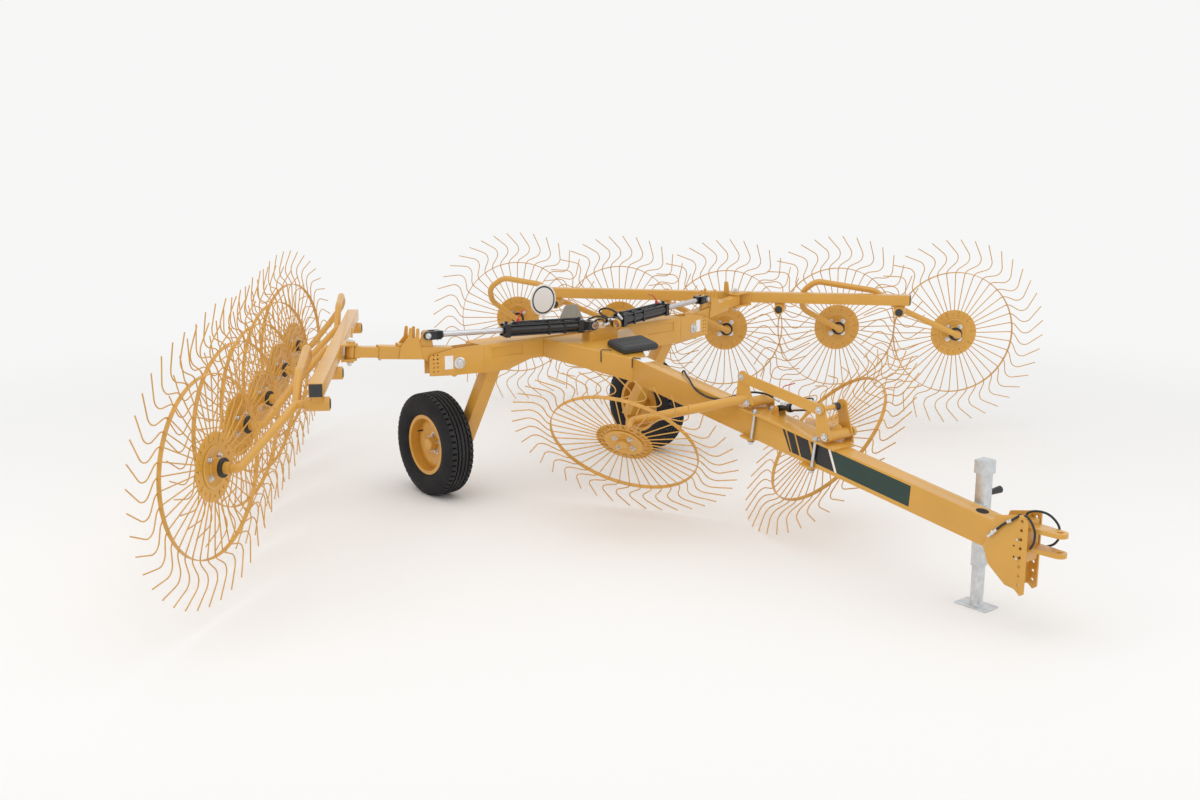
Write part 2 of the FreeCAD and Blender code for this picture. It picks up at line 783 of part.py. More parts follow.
def make_rake_beam():
    start, along, outward, plan = beam_frame()
    beam = body("rake_beam_left", start, turn_to(along, outward))
    tube = sketch(beam, "YZ_Plane", "beam_rear")
    rectangle(tube, "-beam_size / 2", "beam_size / 2", "-beam_size / 2", "beam_size / 2")
    rectangle(
        tube, "-beam_size / 2 + beam_wall", "beam_size / 2 - beam_wall",
        "-beam_size / 2 + beam_wall", "beam_size / 2 - beam_wall",
    )
    pad(beam, tube, "beam_front - beam_rear - 4")
    cap = sketch(beam, "YZ_Plane", "beam_front - 4")
    rectangle(cap, "-beam_size / 2", "beam_size / 2", "-beam_size / 2", "beam_size / 2")
    pad(beam, cap, 4)
    for place in range(4):
        x = f"-{place} * pivot_pitch"
        hanger = sketch(beam, "XZ_Plane")
        outline(hanger, [
            (f"{x} - 40", "-beam_size / 2"), (f"{x} - 30", "-pivot_drop"), (f"{x} + 30", "-pivot_drop"),
            (f"{x} + 40", "-beam_size / 2"),
        ])
        pad(beam, hanger, "beam_size * 0.7", middle=True)
        pivot = sketch(beam, "XZ_Plane", "beam_offset")
        circle(pivot, x, "-pivot_drop", "pivot_tube_radius")
        pad(beam, pivot, "pivot_tube_length", back=True)
        bore = sketch(beam, "XZ_Plane", "beam_offset + 1")
        circle(bore, x, "-pivot_drop", "pivot_bore_radius")
        pocket(beam, bore, "pivot_tube_length + 2")
    mirror(beam)


def make_beam_yoke():
    start, beam_along, outward, plan = beam_frame()
    along, behind, up = arm_axes()
    bolt = arm_pin_centre() + along * value("beam_bolt_out") + up * value("arm_axis_height")
    flat = (plan - up * plan.dot(up)).normalize()
    across = up.cross(flat)
    yoke = body("beam_yoke_left", bolt, turn_to(flat, across))
    gap_to_beam = (start - outward * value("beam_size / 2") - bolt).dot(outward)

    def edge(height):
        """How far out a level of the yoke reaches to meet the beam's face."""
        return (gap_to_beam - height * up.dot(outward)) / across.dot(outward)

    half = value("beam_bush_height / 2 + seat_gap")
    thick = value("yoke_plate")
    for low in (half, -half - thick):
        reach = min(edge(low), edge(low + thick)) - value("seat_gap")
        plate = sketch(yoke, "XY_Plane", low)
        outline(plate, [
            (-110, reach), (-40, "-beam_bush_radius * 0.5"),
            (40, "-beam_bush_radius * 0.5", 0, "-beam_bush_radius - 12"), (110, reach),
        ])
        pad(yoke, plate, thick)
    stand = yoke.Placement.Rotation.inverted() * turn_to(plan, Vector(0, 0, 1))
    web = sketch(yoke, "XY_Plane", place=Placement(Vector(0, edge(0), 0), stand))
    rectangle(web, -110, 110, -half - thick / 2, half + thick / 2)
    pad(yoke, web, 8)
    for low, length, radius in (
        (-half - thick - 14, 2 * half + 2 * thick + 28, "beam_bolt_radius"),
        (half + thick, 12, "beam_bolt_radius * 1.6"),
        (-half - thick - 12, 12, "beam_bolt_radius * 1.6"),
    ):
        pin = sketch(yoke, "XY_Plane", low)
        circle(pin, 0, 0, radius)
        pad(yoke, pin, length)
    tab = sketch(yoke, "XZ_Plane", -4)
    top = half + thick
    outline(tab, [(-90, top - 1), (-46, top - 1), (-54, top + 86), (-82, top + 86)])
    pad(yoke, tab, 10)
    mirror(yoke)


# ---- tined wheels and their arms ----

def wheel_axis():
    """The direction out along a left rake wheel's axle."""
    angle = math.radians(value("wheel_axis_angle"))
    return Vector(math.cos(angle), math.sin(angle), 0)


def prism(points, size):
    """A three-sided wire of constant size along a path in one plane, its last run drawn out to its tip."""
    radius = size / math.sqrt(3)
    rings = []
    for index, point in enumerate(points[:-1]):
        before = points[index] - points[index - 1] if index else points[1] - points[0]
        after = points[index + 1] - point
        tangent = (before.normalize() + after.normalize()).normalize()
        side = tangent.cross(Vector(0, 0, 1)).normalize()
        lift = side.cross(tangent)
        stretch = 1 / max(0.5, tangent.dot(after.normalize()))
        rings.append([
            point + side * (radius * math.cos(a) * stretch) + lift * (radius * math.sin(a))
            for a in (math.radians(d) for d in (90, 210, 330))
        ])
    faces = [Part.Face(Part.makePolygon(rings[0] + rings[0][:1]))]
    for near, far in zip(rings, rings[1:]):
        for corner in range(3):
            after = (corner + 1) % 3
            faces.append(Part.Face(Part.makePolygon([near[corner], near[after], far[after], near[corner]])))
            faces.append(Part.Face(Part.makePolygon([near[corner], far[after], far[corner], near[corner]])))
    for corner in range(3):
        after = (corner + 1) % 3
        last = [rings[-1][corner], rings[-1][after], points[-1], rings[-1][corner]]
        faces.append(Part.Face(Part.makePolygon(last)))
    return Part.Solid(Part.Shell(faces))


def tined_wheel():
    """One tined wheel about Z, its hub plate at the origin and its ring set out along +Z."""
    plate_radius, plate = value("hub_plate_radius"), value("hub_plate")
    boss_radius, boss = value("hub_boss_radius"), value("hub_boss_length")
    hub = Part.makeCylinder(plate_radius, plate)
    hub = hub.fuse(Part.makeCylinder(boss_radius, boss, Vector(0, 0, plate - boss)))
    hub = hub.cut(Part.makeCylinder(value("hub_bore_radius"), 2 * boss, Vector(0, 0, -boss)))
    bend, middle, end = value("tine_bend_radius"), value("tine_middle"), value("tine_end")
    ring_z = value("ring_set")
    first = math.radians(value("tine_bend"))
    second = first - math.radians(value("tine_hook"))
    knee = Vector(bend, 0, ring_z)
    elbow = knee + Vector(math.cos(first), -math.sin(first), 0) * middle
    tip = elbow + Vector(math.cos(second), -math.sin(second), 0) * end
    tine = prism([Vector(plate_radius - 4, 0, plate / 2), knee, elbow, tip], value("tine_size"))
    count = int(value("tine_count"))
    tines = []
    for index in range(count):
        copy = tine.copy()
        copy.rotate(Vector(), Vector(0, 0, 1), index * 360 / count)
        tines.append(copy)
    radius = value("ring_radius")
    turn = 2 * math.pi / count
    corners = [
        Vector(radius * math.cos((i + 0.5) * turn), radius * math.sin((i + 0.5) * turn), 0)
        for i in range(0, count)
    ]
    band = Part.Face(Part.makePolygon(corners + corners[:1]))
    shrink = (radius - value("ring_band")) / radius
    inside = [c * shrink for c in corners]
    band = band.cut(Part.Face(Part.makePolygon(inside + inside[:1])))
    ring = band.extrude(Vector(0, 0, value("ring_width")))
    slope = (ring_z - plate / 2) / (bend - plate_radius + 4)
    ring_low = ring_z - slope * (bend - radius) + value("tine_size") * 0.3
    ring.translate(Vector(0, 0, ring_low - value("ring_width")))
    return hub.fuse(tines + [ring])


def bent_tube(points, bend_radius, radius):
    """A round bar along straight runs that are joined by tangent arcs."""
    edges = []
    here = points[0]
    length = 0.0
    for before, corner, after in zip(points, points[1:], points[2:]):
        come = (corner - before).normalize()
        leave = (after - corner).normalize()
        turn = come.getAngle(leave)
        if turn < 0.02:
            continue
        room = 0.45 * min((corner - before).Length, (after - corner).Length)
        cut = min(bend_radius * math.tan(turn / 2), room)
        start, end = corner - come * cut, corner + leave * cut
        bend = cut / math.tan(turn / 2)
        bisector = (leave - come).normalize()
        centre = corner + bisector * math.hypot(bend, cut)
        middle = centre - bisector * bend
        edges.append(Part.LineSegment(here, start).toShape())
        edges.append(Part.Arc(start, middle, end).toShape())
        here = end
    edges.append(Part.LineSegment(here, points[-1]).toShape())
    path = Part.Wire(edges)
    profile = Part.Wire(Part.Circle(points[0], points[1] - points[0], radius).toShape())
    tube = path.makePipeShell([profile], True, False)
    if abs(tube.Volume / (math.pi * radius ** 2 * path.Length) - 1) > 0.01:
        raise ValueError("a bent tube has the wrong volume")
    return tube


def spindle(hub, axis, back):
    """The journal that a tined wheel turns on, with the collar behind its boss and the cap before it."""
    boss, plate = value("hub_boss_length"), value("hub_plate")
    rear = hub + axis * (plate - boss - value("seat_gap"))
    length = boss + 2 * value("seat_gap")
    journal = Part.makeCylinder(value("hub_bore_radius - pin_clearance"), length, rear, axis)
    collar = Part.makeCylinder(value("hub_boss_radius") * 0.72, back, rear - axis * back, axis)
    cap = Part.makeCylinder(value("hub_boss_radius") * 0.6, 10, rear + axis * length, axis)
    return [journal, collar, cap]


def make_rake_wheels():
    start, along, outward, plan = beam_frame()
    axis = wheel_axis()
    flat_start = from_axle("beam_ref_x", "beam_ref_y", 0)
    shape = tined_wheel()
    pitch = value("pivot_pitch")
    hubs = []
    for number in range(5):
        t = (value("first_wheel_ahead") - number) * pitch
        height = value("rake_hub_height_front") if number < 2 else value("rake_hub_height_rear")
        hub = flat_start + plan * t + outward * value("hub_reach") + Vector(0, 0, height)
        hubs.append(hub)
        face = turn_to(Vector(0, 0, 1).cross(axis), Vector(0, 0, 1))
        wheel = solid(f"rake_wheel_left_{number + 1}", shape.copy(), Placement(hub, face))
        mirror(wheel)
    return hubs


def make_rockers(hubs):
    start, along, outward, plan = beam_frame()
    axis = wheel_axis()
    origin = from_axle("beam_ref_x", "beam_ref_y", 0)
    tube_radius = value("arm_tube_radius")
    gap = value("seat_gap")

    def spot(t, out, z):
        return origin + plan * t + outward * out + Vector(0, 0, z)

    def pivot(place):
        """How far along the beam and how high a pivot's centre is."""
        centre = start - along * (place * value("pivot_pitch")) - along.cross(outward) * value("pivot_drop")
        return (centre - origin).dot(plan), centre.z

    def journal(place):
        x, z = pivot(place)
        length = value("pivot_tube_length") + 40
        return Part.makeCylinder(value("pivot_bore_radius - seat_gap"), length, spot(x, 2, z), outward)

    collar_depth = value("arm_collar_depth")

    def hub_end(hub):
        """The two last points of a tube that meets a wheel square behind its boss."""
        rear = hub - axis * (value("hub_boss_length - hub_plate") + gap + collar_depth - 2)
        return [rear - axis * 45, rear]

    plane, outer = value("arm_plane"), value("arch_outer_plane")

    def straight(place, hub):
        """The short tube from a pivot to the wheel before it."""
        x, z = pivot(place)
        return bent_tube([spot(x, plane, z)] + hub_end(hub), 60, tube_radius)

    def rocker(label, place, hubs, rises):
        """A pivot's two tubes: a short one forward, and one that arches over to the wheel behind."""
        x, z = pivot(place)
        line = [spot(x, plane, z)]
        line += [spot(x - back, plane, height) for back, height in rises[:-1]]
        back, height = rises[-1]
        line += [spot(x - back, outer, height)] + hub_end(hubs[1])
        pieces = [bent_tube(line, 110, tube_radius), journal(place)]
        for hub in hubs:
            pieces += spindle(hub, axis, collar_depth)
        mirror(solid(label, straight(place, hubs[0]).fuse(pieces)))

    rocker("rocker_front_left", 0, hubs[:2], [(200, 1160), (640, 1215), (745, 1130), (750, 985)])
    rocker("rocker_rear_left", 3, hubs[3:], [(190, 1100), (500, 1138), (625, 1050), (636, 930)])
    single = [journal(2)] + spindle(hubs[2], axis, collar_depth)
    mirror(solid("float_arm_left", straight(2, hubs[2]).fuse(single)))


# ---- kicker wheels ----

def make_kickers():
    near, plate = value("kicker_near"), value("kicker_plate")
    rear = from_axle("kicker_rear_x", 0, "kicker_rear_z")
    front = rear + Vector(value("kicker_link_length"), 0, -value("kicker_link_fall"))
    lever = Vector(-value("kicker_lever_back"), 0, value("kicker_lever_rise"))
    side = Vector(0, 1, 0)
    tube_radius, shaft = value("kicker_tube_radius"), value("kicker_shaft_radius")
    clearance = value("pin_clearance")
    shape = tined_wheel()
    collar_depth = value("kicker_collar_depth")
    bolt_radius = value("kicker_bolt_radius")

    def lever_plate(pivot, top):
        """A flat lever from the pivot tube's near end up to the link's bolt."""
        along = top.normalize()
        across = along.cross(side)
        reach = lever.Length
        corners = [
            across * 34 - along * 8, across * 20 + along * reach,
            across * -20 + along * reach, across * -34 - along * 8,
        ]
        outer = pivot - side * (near + plate)
        corners = [outer + corner for corner in corners]
        face = Part.Face(Part.makePolygon(corners + corners[:1]))
        lever_shape = face.extrude(side * plate)
        lever_shape = lever_shape.fuse(Part.makeCylinder(20, plate, outer + along * reach, side))
        hole = Part.makeCylinder(bolt_radius + clearance, plate + 2, outer + along * reach - side, side)
        return lever_shape.cut(hole)

    def arm(label, pivot, far, hub, axis, attach_y, extra):
        tube = Part.makeCylinder(tube_radius, near + far, pivot - side * near, side)
        end = hub - axis * (value("hub_boss_length - hub_plate") + value("seat_gap") + collar_depth - 2)
        root = pivot + side * attach_y + Vector(0, 0, value("kicker_arm_radius"))
        bar = bent_tube([root, end - axis * 60, end], 70, value("kicker_arm_radius"))
        pieces = [bar, lever_plate(pivot, Vector(lever))] + spindle(hub, axis, collar_depth) + extra
        arm_shape = tube.fuse(pieces)
        bore = Part.makeCylinder(shaft + clearance, near + far + 400, pivot - side * (near + 200), side)
        socket = pivot + lever - side * (near + plate + 1)
        arm_shape = arm_shape.cut(bore)
        arm_shape = arm_shape.cut(Part.makeCylinder(bolt_radius + clearance, plate + 12, socket, side))
        solid(label, arm_shape)

    ahead, out, down = value("kicker_axis_ahead"), value("kicker_axis_out"), value("kicker_axis_down")
    right_axis = Vector(ahead, -out, -down).normalize()
    left_axis = Vector(ahead, out, -down).normalize()
    right_hub = from_axle("kicker_right_hub_x", "kicker_right_hub_y", "kicker_hub_height")
    left_hub = from_axle("kicker_left_hub_x", "kicker_left_hub_y", "kicker_hub_height")
    arm("kicker_arm_right", rear, value("kicker_far") - 6, right_hub, right_axis, -55, [])
    bolt = front + lever
    eye_near = value("kicker_cylinder_y - kicker_eye_width / 2 - 2")
    eye_far = value("kicker_cylinder_y + kicker_eye_width / 2 + 2")
    far_lever = value("kicker_far") - plate - 5
    corners = [front + Vector(-34, far_lever, 0), front + Vector(34, far_lever, 0)]
    corners += [bolt + Vector(22, far_lever, 6), bolt + Vector(-22, far_lever, 6)]
    pin_radius = value("kicker_pin_radius")
    crank = [
        Part.Face(Part.makePolygon(corners + corners[:1])).extrude(side * plate),
        Part.makeCylinder(14, near + eye_near - 6, bolt - side * near, side),
        Part.makeCylinder(pin_radius, 6, bolt + side * (eye_near - 6), side),
        Part.makeCylinder(pin_radius, far_lever + plate - eye_far, bolt + side * eye_far, side),
    ]
    arm("kicker_arm_left", front, value("kicker_far"), left_hub, left_axis, 20, crank)
    for hand, hub, axis in (("right", right_hub, right_axis), ("left", left_hub, left_axis)):
        across = axis.cross(Vector(0, 0, 1)).normalize()
        face = turn_to(across, axis.cross(across))
        solid("kicker_wheel_" + hand, shape.copy(), Placement(hub, face))

    # the flat link between the two levers
    bar_y = -(near + 2 * plate + 1)
    link = body("kicker_link", rear + lever + side * bar_y)
    strap = sketch(link, "XZ_Plane")
    outline(strap, [
        (0, -20, -20, 0), ("kicker_link_length", "-kicker_link_fall - 20"),
        ("kicker_link_length", "-kicker_link_fall + 20", "kicker_link_length + 20", "-kicker_link_fall"),
        (0, 20),
    ])
    pad(link, strap, "kicker_plate", back=True)
    for x, z in ((0, 0), ("kicker_link_length", "-kicker_link_fall")):
        pin = sketch(link, "XZ_Plane", "kicker_plate + 4")
        circle(pin, x, z, "kicker_bolt_radius")
        pad(link, pin, "3 * kicker_plate + 10", back=True)
        head = sketch(link, "XZ_Plane", 8)
        circle(head, x, z, 15)
        pad(link, head, 10, back=True)


def make_kicker_cylinder():
    pin_x = "kicker_rear_x + kicker_link_length - kicker_lever_back"
    pin_z = "kicker_rear_z - kicker_link_fall + kicker_lever_rise"
    base = from_axle("kicker_cylinder_x", "kicker_cylinder_y", "kicker_cylinder_z")
    eye = from_axle(pin_x, "kicker_cylinder_y", pin_z)
    axis = (eye - base).normalize()
    reach = (eye - base).Length
    lie = turn_to(axis, Vector(0, 1, 0))
    barrel = body("kicker_barrel", base, lie)
    boss = sketch(barrel, "XZ_Plane")
    circle(boss, 0, 0, "kicker_eye_radius")
    pad(barrel, boss, "kicker_eye_width", middle=True)
    neck = sketch(barrel, "YZ_Plane", 14)
    circle(neck, 0, 0, "kicker_rod_radius + 4")
    pad(barrel, neck, "kicker_barrel_start")
    tube = sketch(barrel, "YZ_Plane", "kicker_barrel_start")
    circle(tube, 0, 0, "kicker_barrel_radius")
    pad(barrel, tube, "kicker_barrel_length")
    bore = sketch(barrel, "YZ_Plane", "kicker_barrel_start + kicker_barrel_length + 1")
    circle(bore, 0, 0, "kicker_rod_radius + pin_clearance")
    pocket(barrel, bore, "kicker_barrel_length - 10")
    hole = sketch(barrel, "XZ_Plane")
    circle(hole, 0, 0, "kicker_pin_radius + pin_clearance")
    pocket(barrel, hole, 60, middle=True)

    rod = body("kicker_rod", base, lie)
    shaft = sketch(rod, "YZ_Plane", 130)
    circle(shaft, 0, 0, "kicker_rod_radius")
    pad(rod, shaft, f"{reach} - 130 - 12")
    boss = sketch(rod, "XZ_Plane")
    circle(boss, reach, 0, "kicker_eye_radius")
    pad(rod, boss, "kicker_eye_width", middle=True)


def make_kicker_mount():
    slope = math.atan(value("tongue_fall"))
    along = Vector(math.cos(slope), 0, -math.sin(slope))
    top = from_axle("kicker_rear_x", 0, tongue_z("kicker_rear_x"))
    mount = body("kicker_mount", top, turn_to(along, Vector(0, 1, 0)))
    length = value("kicker_link_length") / math.cos(slope)
    plate = sketch(mount, "XY_Plane")
    rectangle(plate, -45, length + 70, "-mount_width / 2", "mount_width / 2")
    pad(mount, plate, "mount_plate")
    under = f"-tongue_height * cos(atan(tongue_fall)) - mount_plate"
    for start in (-30, length - 30):
        clamp = sketch(mount, "XY_Plane", under)
        rectangle(clamp, start, start + 90, "-mount_width / 2", "mount_width / 2")
        pad(mount, clamp, "mount_plate")
        for y_side in (-1, 1):
            bolt = sketch(mount, "XY_Plane", under + " - 14")
            circle(bolt, start + 78, f"{y_side} * (mount_width / 2 - 16)", 9)
            pad(mount, bolt, "tongue_height * cos(atan(tongue_fall)) + 2 * mount_plate + 30")
    rear = Vector(value("kicker_rear_x"), 0, value("kicker_rear_z"))
    front = rear + Vector(value("kicker_link_length"), 0, -value("kicker_link_fall"))
    for pivot, far in ((rear, value("kicker_far") - 6), (front, value("kicker_far"))):
        local = mount.Placement.inverse().multVec(pivot + Vector(value("axle_x"), 0, 0))
        ear = sketch(mount, "XZ_Plane", -(far + value("side_clearance")))
        outline(ear, [
            (local.x - 24, 4), (local.x + 40, 4), (f"{local.x} + kicker_tube_radius - 4", local.z),
            (f"{local.x} - kicker_tube_radius + 4", local.z, local.x, f"{local.z} + kicker_tube_radius - 4"),
        ])
        pad(mount, ear, "kicker_plate", back=True)
        shaft = sketch(mount, "XZ_Plane", -(far + value("side_clearance") + 4))
        circle(shaft, local.x, local.z, "kicker_shaft_radius")
        pad(mount, shaft, f"{far} + kicker_near + side_clearance")
        shelf = sketch(mount, "XY_Plane")
        rectangle(shelf, local.x - 24, local.x + 40, 0, far + value("side_clearance") + value("kicker_plate"))
        pad(mount, shelf, "mount_plate")
    base = Vector(value("kicker_cylinder_x + axle_x"), 0, value("kicker_cylinder_z"))
    local = mount.Placement.inverse().multVec(base)
    middle = value("kicker_cylinder_y")
    for start in (26, -36):
        lug = sketch(mount, "XZ_Plane", -middle - start)
        outline(lug, [
            (local.x - 30, 4), (local.x + 30, 4), (local.x + 18, local.z),
            (local.x - 18, local.z, local.x, local.z + 18),
        ])
        pad(mount, lug, "kicker_plate", back=True)
    pin = sketch(mount, "XZ_Plane", 42 - middle)
    circle(pin, local.x, local.z, "kicker_pin_radius")
    pad(mount, pin, 84, back=True)


# ---- hitch, jack and small pieces ----

def make_hitch():
    head = body("hitch_head")
    wide = "tongue_width / 2"
    for lift in (f"-({wide}) - hitch_plate", wide):
        side = sketch(head, "XZ_Plane", lift)
        outline(side, [
            ("tongue_front - 45", 543), ("tongue_front - 92", 408), ("tongue_front - 76", 367),
            ("tongue_front - 60", 325), ("tongue_front + 44", 241), ("tongue_front + 98", 234),
            ("tongue_front + 124", 214), ("channel_front", 230), ("channel_front", 608),
            ("tongue_front + 104", 614), ("tongue_front - 29", 582),
        ])
        pad(head, side, "hitch_plate")
    web = "channel_front - channel_depth"
    front = sketch(head, "YZ_Plane", web)
    rectangle(front, f"-({wide}) - 1", f"{wide} + 1", "channel_low", "channel_high")
    pad(head, front, "hitch_plate")
    holes = sketch(head, "XZ_Plane")
    for number in range(8):
        level = f"channel_high - 14 - {number} * channel_hole_pitch"
        circle(holes, "channel_front - 27", level, "channel_hole_radius")
    pocket(head, holes, "2 * tongue_width", middle=True)

    clevis = body("hitch_clevis")
    root = sketch(clevis, "YZ_Plane", f"{web} + hitch_plate")
    half = "(tongue_width / 2 - 6)"
    rectangle(root, f"-{half}", half, "clevis_centre - 120", "clevis_centre + 85")
    pad(clevis, root, "channel_depth - hitch_plate - 4")
    for lift in ("clevis_centre + clevis_gap / 2", "clevis_centre - clevis_gap / 2 - clevis_tang"):
        tang = sketch(clevis, "XY_Plane", lift)
        outline(tang, [
            ("hitch_pin_x - 150", half), ("hitch_pin_x - 150", f"-{half}"),
            ("hitch_pin_x", -38), ("hitch_pin_x", 38, "hitch_pin_x + 38", 0),
        ])
        circle(tang, "hitch_pin_x", 0, "hitch_pin_radius")
        pad(clevis, tang, "clevis_tang")


def make_jack():
    jack = body("jack_tube", from_axle("jack_x", "jack_y", 0))
    tube = sketch(jack, "XY_Plane", "jack_low")
    rectangle(tube, "-jack_size / 2", "jack_size / 2", "-jack_size / 2", "jack_size / 2")
    pad(jack, tube, "jack_high - jack_low")
    mount = sketch(jack, "XY_Plane", "jack_mount_low")
    rectangle(mount, -50, 50, "-jack_y + tongue_width / 2", "-jack_size / 2 + 1")
    pad(jack, mount, "jack_mount_height")
    hollow = sketch(jack, "XY_Plane", "jack_low - 1")
    inner = "jack_leg_size / 2 + slide_clearance"
    rectangle(hollow, f"-({inner})", inner, f"-({inner})", inner)
    pocket(jack, hollow, "jack_high - jack_low - 4", back=True)
    cap = sketch(jack, "XY_Plane", "jack_high - jack_cap_height")
    rectangle(cap, "-jack_cap / 2", "jack_cap / 2", "-jack_cap / 2", "jack_cap / 2")
    pad(jack, cap, "jack_cap_height - 1")
    crank = sketch(jack, "XZ_Plane", "1 - jack_cap / 2")
    circle(crank, 0, "jack_high - jack_cap_height / 2", 12)
    pad(jack, crank, 20, back=True)
    handle = sketch(jack, "XZ_Plane", "-jack_crank_y")
    outline(handle, [
        (-9, "jack_high - jack_cap_height / 2 + 8"), (-9, "jack_grip_height"),
        (9, "jack_grip_height", 0, "jack_grip_height - 9"), (9, "jack_high - jack_cap_height / 2 + 8"),
    ])
    pad(jack, handle, 8, back=True)
    grip = sketch(jack, "XZ_Plane", "-jack_crank_y - 6")
    circle(grip, 0, "jack_grip_height + 2", "jack_grip_radius")
    pad(jack, grip, "jack_grip_length", back=True)

    leg = body("jack_leg", from_axle("jack_x", "jack_y", 0))
    foot = sketch(leg, "XY_Plane")
    rectangle(foot, "-foot_length / 2", "foot_length / 2", "-foot_width / 2", "foot_width / 2")
    pad(leg, foot, "foot_plate")
    tube = sketch(leg, "XY_Plane")
    rectangle(tube, "-jack_leg_size / 2", "jack_leg_size / 2", "-jack_leg_size / 2", "jack_leg_size / 2")
    pad(leg, tube, 480)


def make_signs_and_box():
    slope = math.atan(value("(gusset_top - tongue_top) / (tongue_rear - frame_front)"))
    along = Vector(math.cos(slope), 0, -math.sin(slope))
    seat = gusset_z("box_x") + " + seat_gap"
    box = body("manual_box", from_axle("box_x", "box_y", seat), turn_to(along, Vector(0, 1, 0)))
    for low, lip, height in ((0, "0", "box_height"), ("box_height", "lid_lip", "lid_height")):
        layer = sketch(box, "XY_Plane", low)
        half_length, half_width = f"(box_length / 2 + {lip})", f"(box_width / 2 + {lip})"
        rectangle(layer, f"-{half_length}", half_length, f"-{half_width}", half_width)
        pad(box, layer, height)

    sign = body("speed_sign", from_axle("frame_front - frame_depth", 0, 0))
    stay = sketch(sign, "XZ_Plane", 152)
    outline(stay, [
        (0, 990), (0, 1040), (-60, 1050), ("6 - sign_behind", 1150), ("-sign_behind", 1150),
        ("-sign_behind", 1040), (-60, 990),
    ])
    pad(sign, stay, 20)
    disc = sketch(sign, "YZ_Plane", "-sign_behind")
    circle(disc, "sign_y", "sign_height", "sign_radius")
    pad(sign, disc, 6)
    post = sketch(sign, "YZ_Plane", "-sign_behind")
    rectangle(post, "sign_y - 10", "sign_y + 10", 1100, "sign_height - sign_radius + 13")
    pad(sign, post, 6)

    marker = body("rear_marker", from_axle("frame_front - frame_depth", 0, 0))
    panel = sketch(marker, "YZ_Plane", "-marker_behind")
    outline(panel, [
        (-60, "marker_low"), (186, "marker_low"), (136, "marker_low + 180"),
        (112, "marker_low + 192", 130, "marker_low + 190"), (14, "marker_low + 192"),
        (-10, "marker_low + 180", -4, "marker_low + 190"),
    ])
    pad(marker, panel, 4)
    stay = sketch(marker, "XZ_Plane", -70)
    rectangle(stay, "3 - marker_behind", 0, "marker_low", "marker_low + 40")
    pad(marker, stay, 30)


make_cross_frame()
make_leg()
make_gusset()
make_tongue()
make_ground_wheel()
make_arm_bracket()
make_lift_arm()
make_lift_cylinder()
make_cylinder_tower()
make_rake_beam()
make_beam_yoke()
make_rockers(make_rake_wheels())
make_kickers()
make_kicker_cylinder()
make_kicker_mount()
make_hitch()
make_jack()
make_signs_and_box()

doc.recompute()
failed = [item.Label for item in doc.Objects if "Invalid" in item.State or "Error" in item.State]
failed += [piece.Label for piece in nodes if piece.Shape.isNull() or not piece.Shape.isValid()]
if failed:
    raise ValueError("these did not compute: " + ", ".join(failed))

os.makedirs("parts", exist_ok=True)
for piece in nodes:
    piece.Shape.exportStep(f"parts/{piece.Label}.step")
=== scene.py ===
"""The looks of the carted V wheel rake: finishes, tined wheels, tyres, fittings, hoses, camera and light.

Metres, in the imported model's frame: +X to the hitch, +Y to the machine's left, +Z up.
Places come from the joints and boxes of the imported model, and sizes are named beside their use.
"""

import json
from math import atan, cos, floor, hypot, pi, radians, sin, sqrt, tan

import bmesh
import bpy
from mathutils import Matrix, Vector

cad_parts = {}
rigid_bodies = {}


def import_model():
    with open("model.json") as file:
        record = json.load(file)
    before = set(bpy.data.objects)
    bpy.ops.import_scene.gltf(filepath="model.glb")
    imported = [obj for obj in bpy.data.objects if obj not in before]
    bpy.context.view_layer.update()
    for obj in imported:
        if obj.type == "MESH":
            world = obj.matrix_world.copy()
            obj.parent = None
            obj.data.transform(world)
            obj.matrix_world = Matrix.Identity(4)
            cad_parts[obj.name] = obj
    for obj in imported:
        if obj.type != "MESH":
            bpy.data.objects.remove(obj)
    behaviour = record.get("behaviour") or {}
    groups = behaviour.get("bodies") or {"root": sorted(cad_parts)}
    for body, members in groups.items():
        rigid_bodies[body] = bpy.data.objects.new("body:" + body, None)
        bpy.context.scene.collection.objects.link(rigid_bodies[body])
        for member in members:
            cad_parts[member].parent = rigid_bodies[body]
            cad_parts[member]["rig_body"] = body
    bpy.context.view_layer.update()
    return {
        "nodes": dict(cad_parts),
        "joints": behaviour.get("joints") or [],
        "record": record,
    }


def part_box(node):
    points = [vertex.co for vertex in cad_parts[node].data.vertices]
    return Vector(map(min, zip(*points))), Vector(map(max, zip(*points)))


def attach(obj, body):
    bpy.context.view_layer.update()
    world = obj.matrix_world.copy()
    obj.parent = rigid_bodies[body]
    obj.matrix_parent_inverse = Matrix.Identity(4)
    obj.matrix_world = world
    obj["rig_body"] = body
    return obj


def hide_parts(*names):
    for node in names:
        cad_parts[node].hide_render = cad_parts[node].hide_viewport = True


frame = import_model()

X, Y, Z = Vector((1, 0, 0)), Vector((0, 1, 0)), Vector((0, 0, 1))
SIDES = (("left", 1), ("right", -1))
SHARP = radians(38)
THINNEST = 0.00005


# ---- places and outlines ----

JOINTS = {joint["name"]: joint for joint in frame["joints"]}
AXLE_X = JOINTS["ground_wheel_left_spin"]["pos_m"][0]


def place(joint):
    """Where a joint is."""
    return Vector(JOINTS[joint]["pos_m"])


def axis(joint):
    """The direction of a joint."""
    return Vector(JOINTS[joint]["axis"]).normalized()


def from_axle(x, y, z):
    """A place whose lengthwise part is measured from the axle."""
    return Vector((x + AXLE_X, y, z))


def route(*spots):
    """The places that a hose or strap runs through, measured from the axle."""
    return [from_axle(*spot) for spot in spots]


def square(direction, near=Z):
    """Two directions square to this one, the second as near as can be to another."""
    direction = direction.normalized()
    if abs(direction.dot(near)) > 0.99:
        near = X
    across = near.cross(direction).normalized()
    return across, direction.cross(across)


def spoke(turn):
    """The direction square to Z at an angle from X."""
    return Vector((cos(turn), sin(turn), 0))


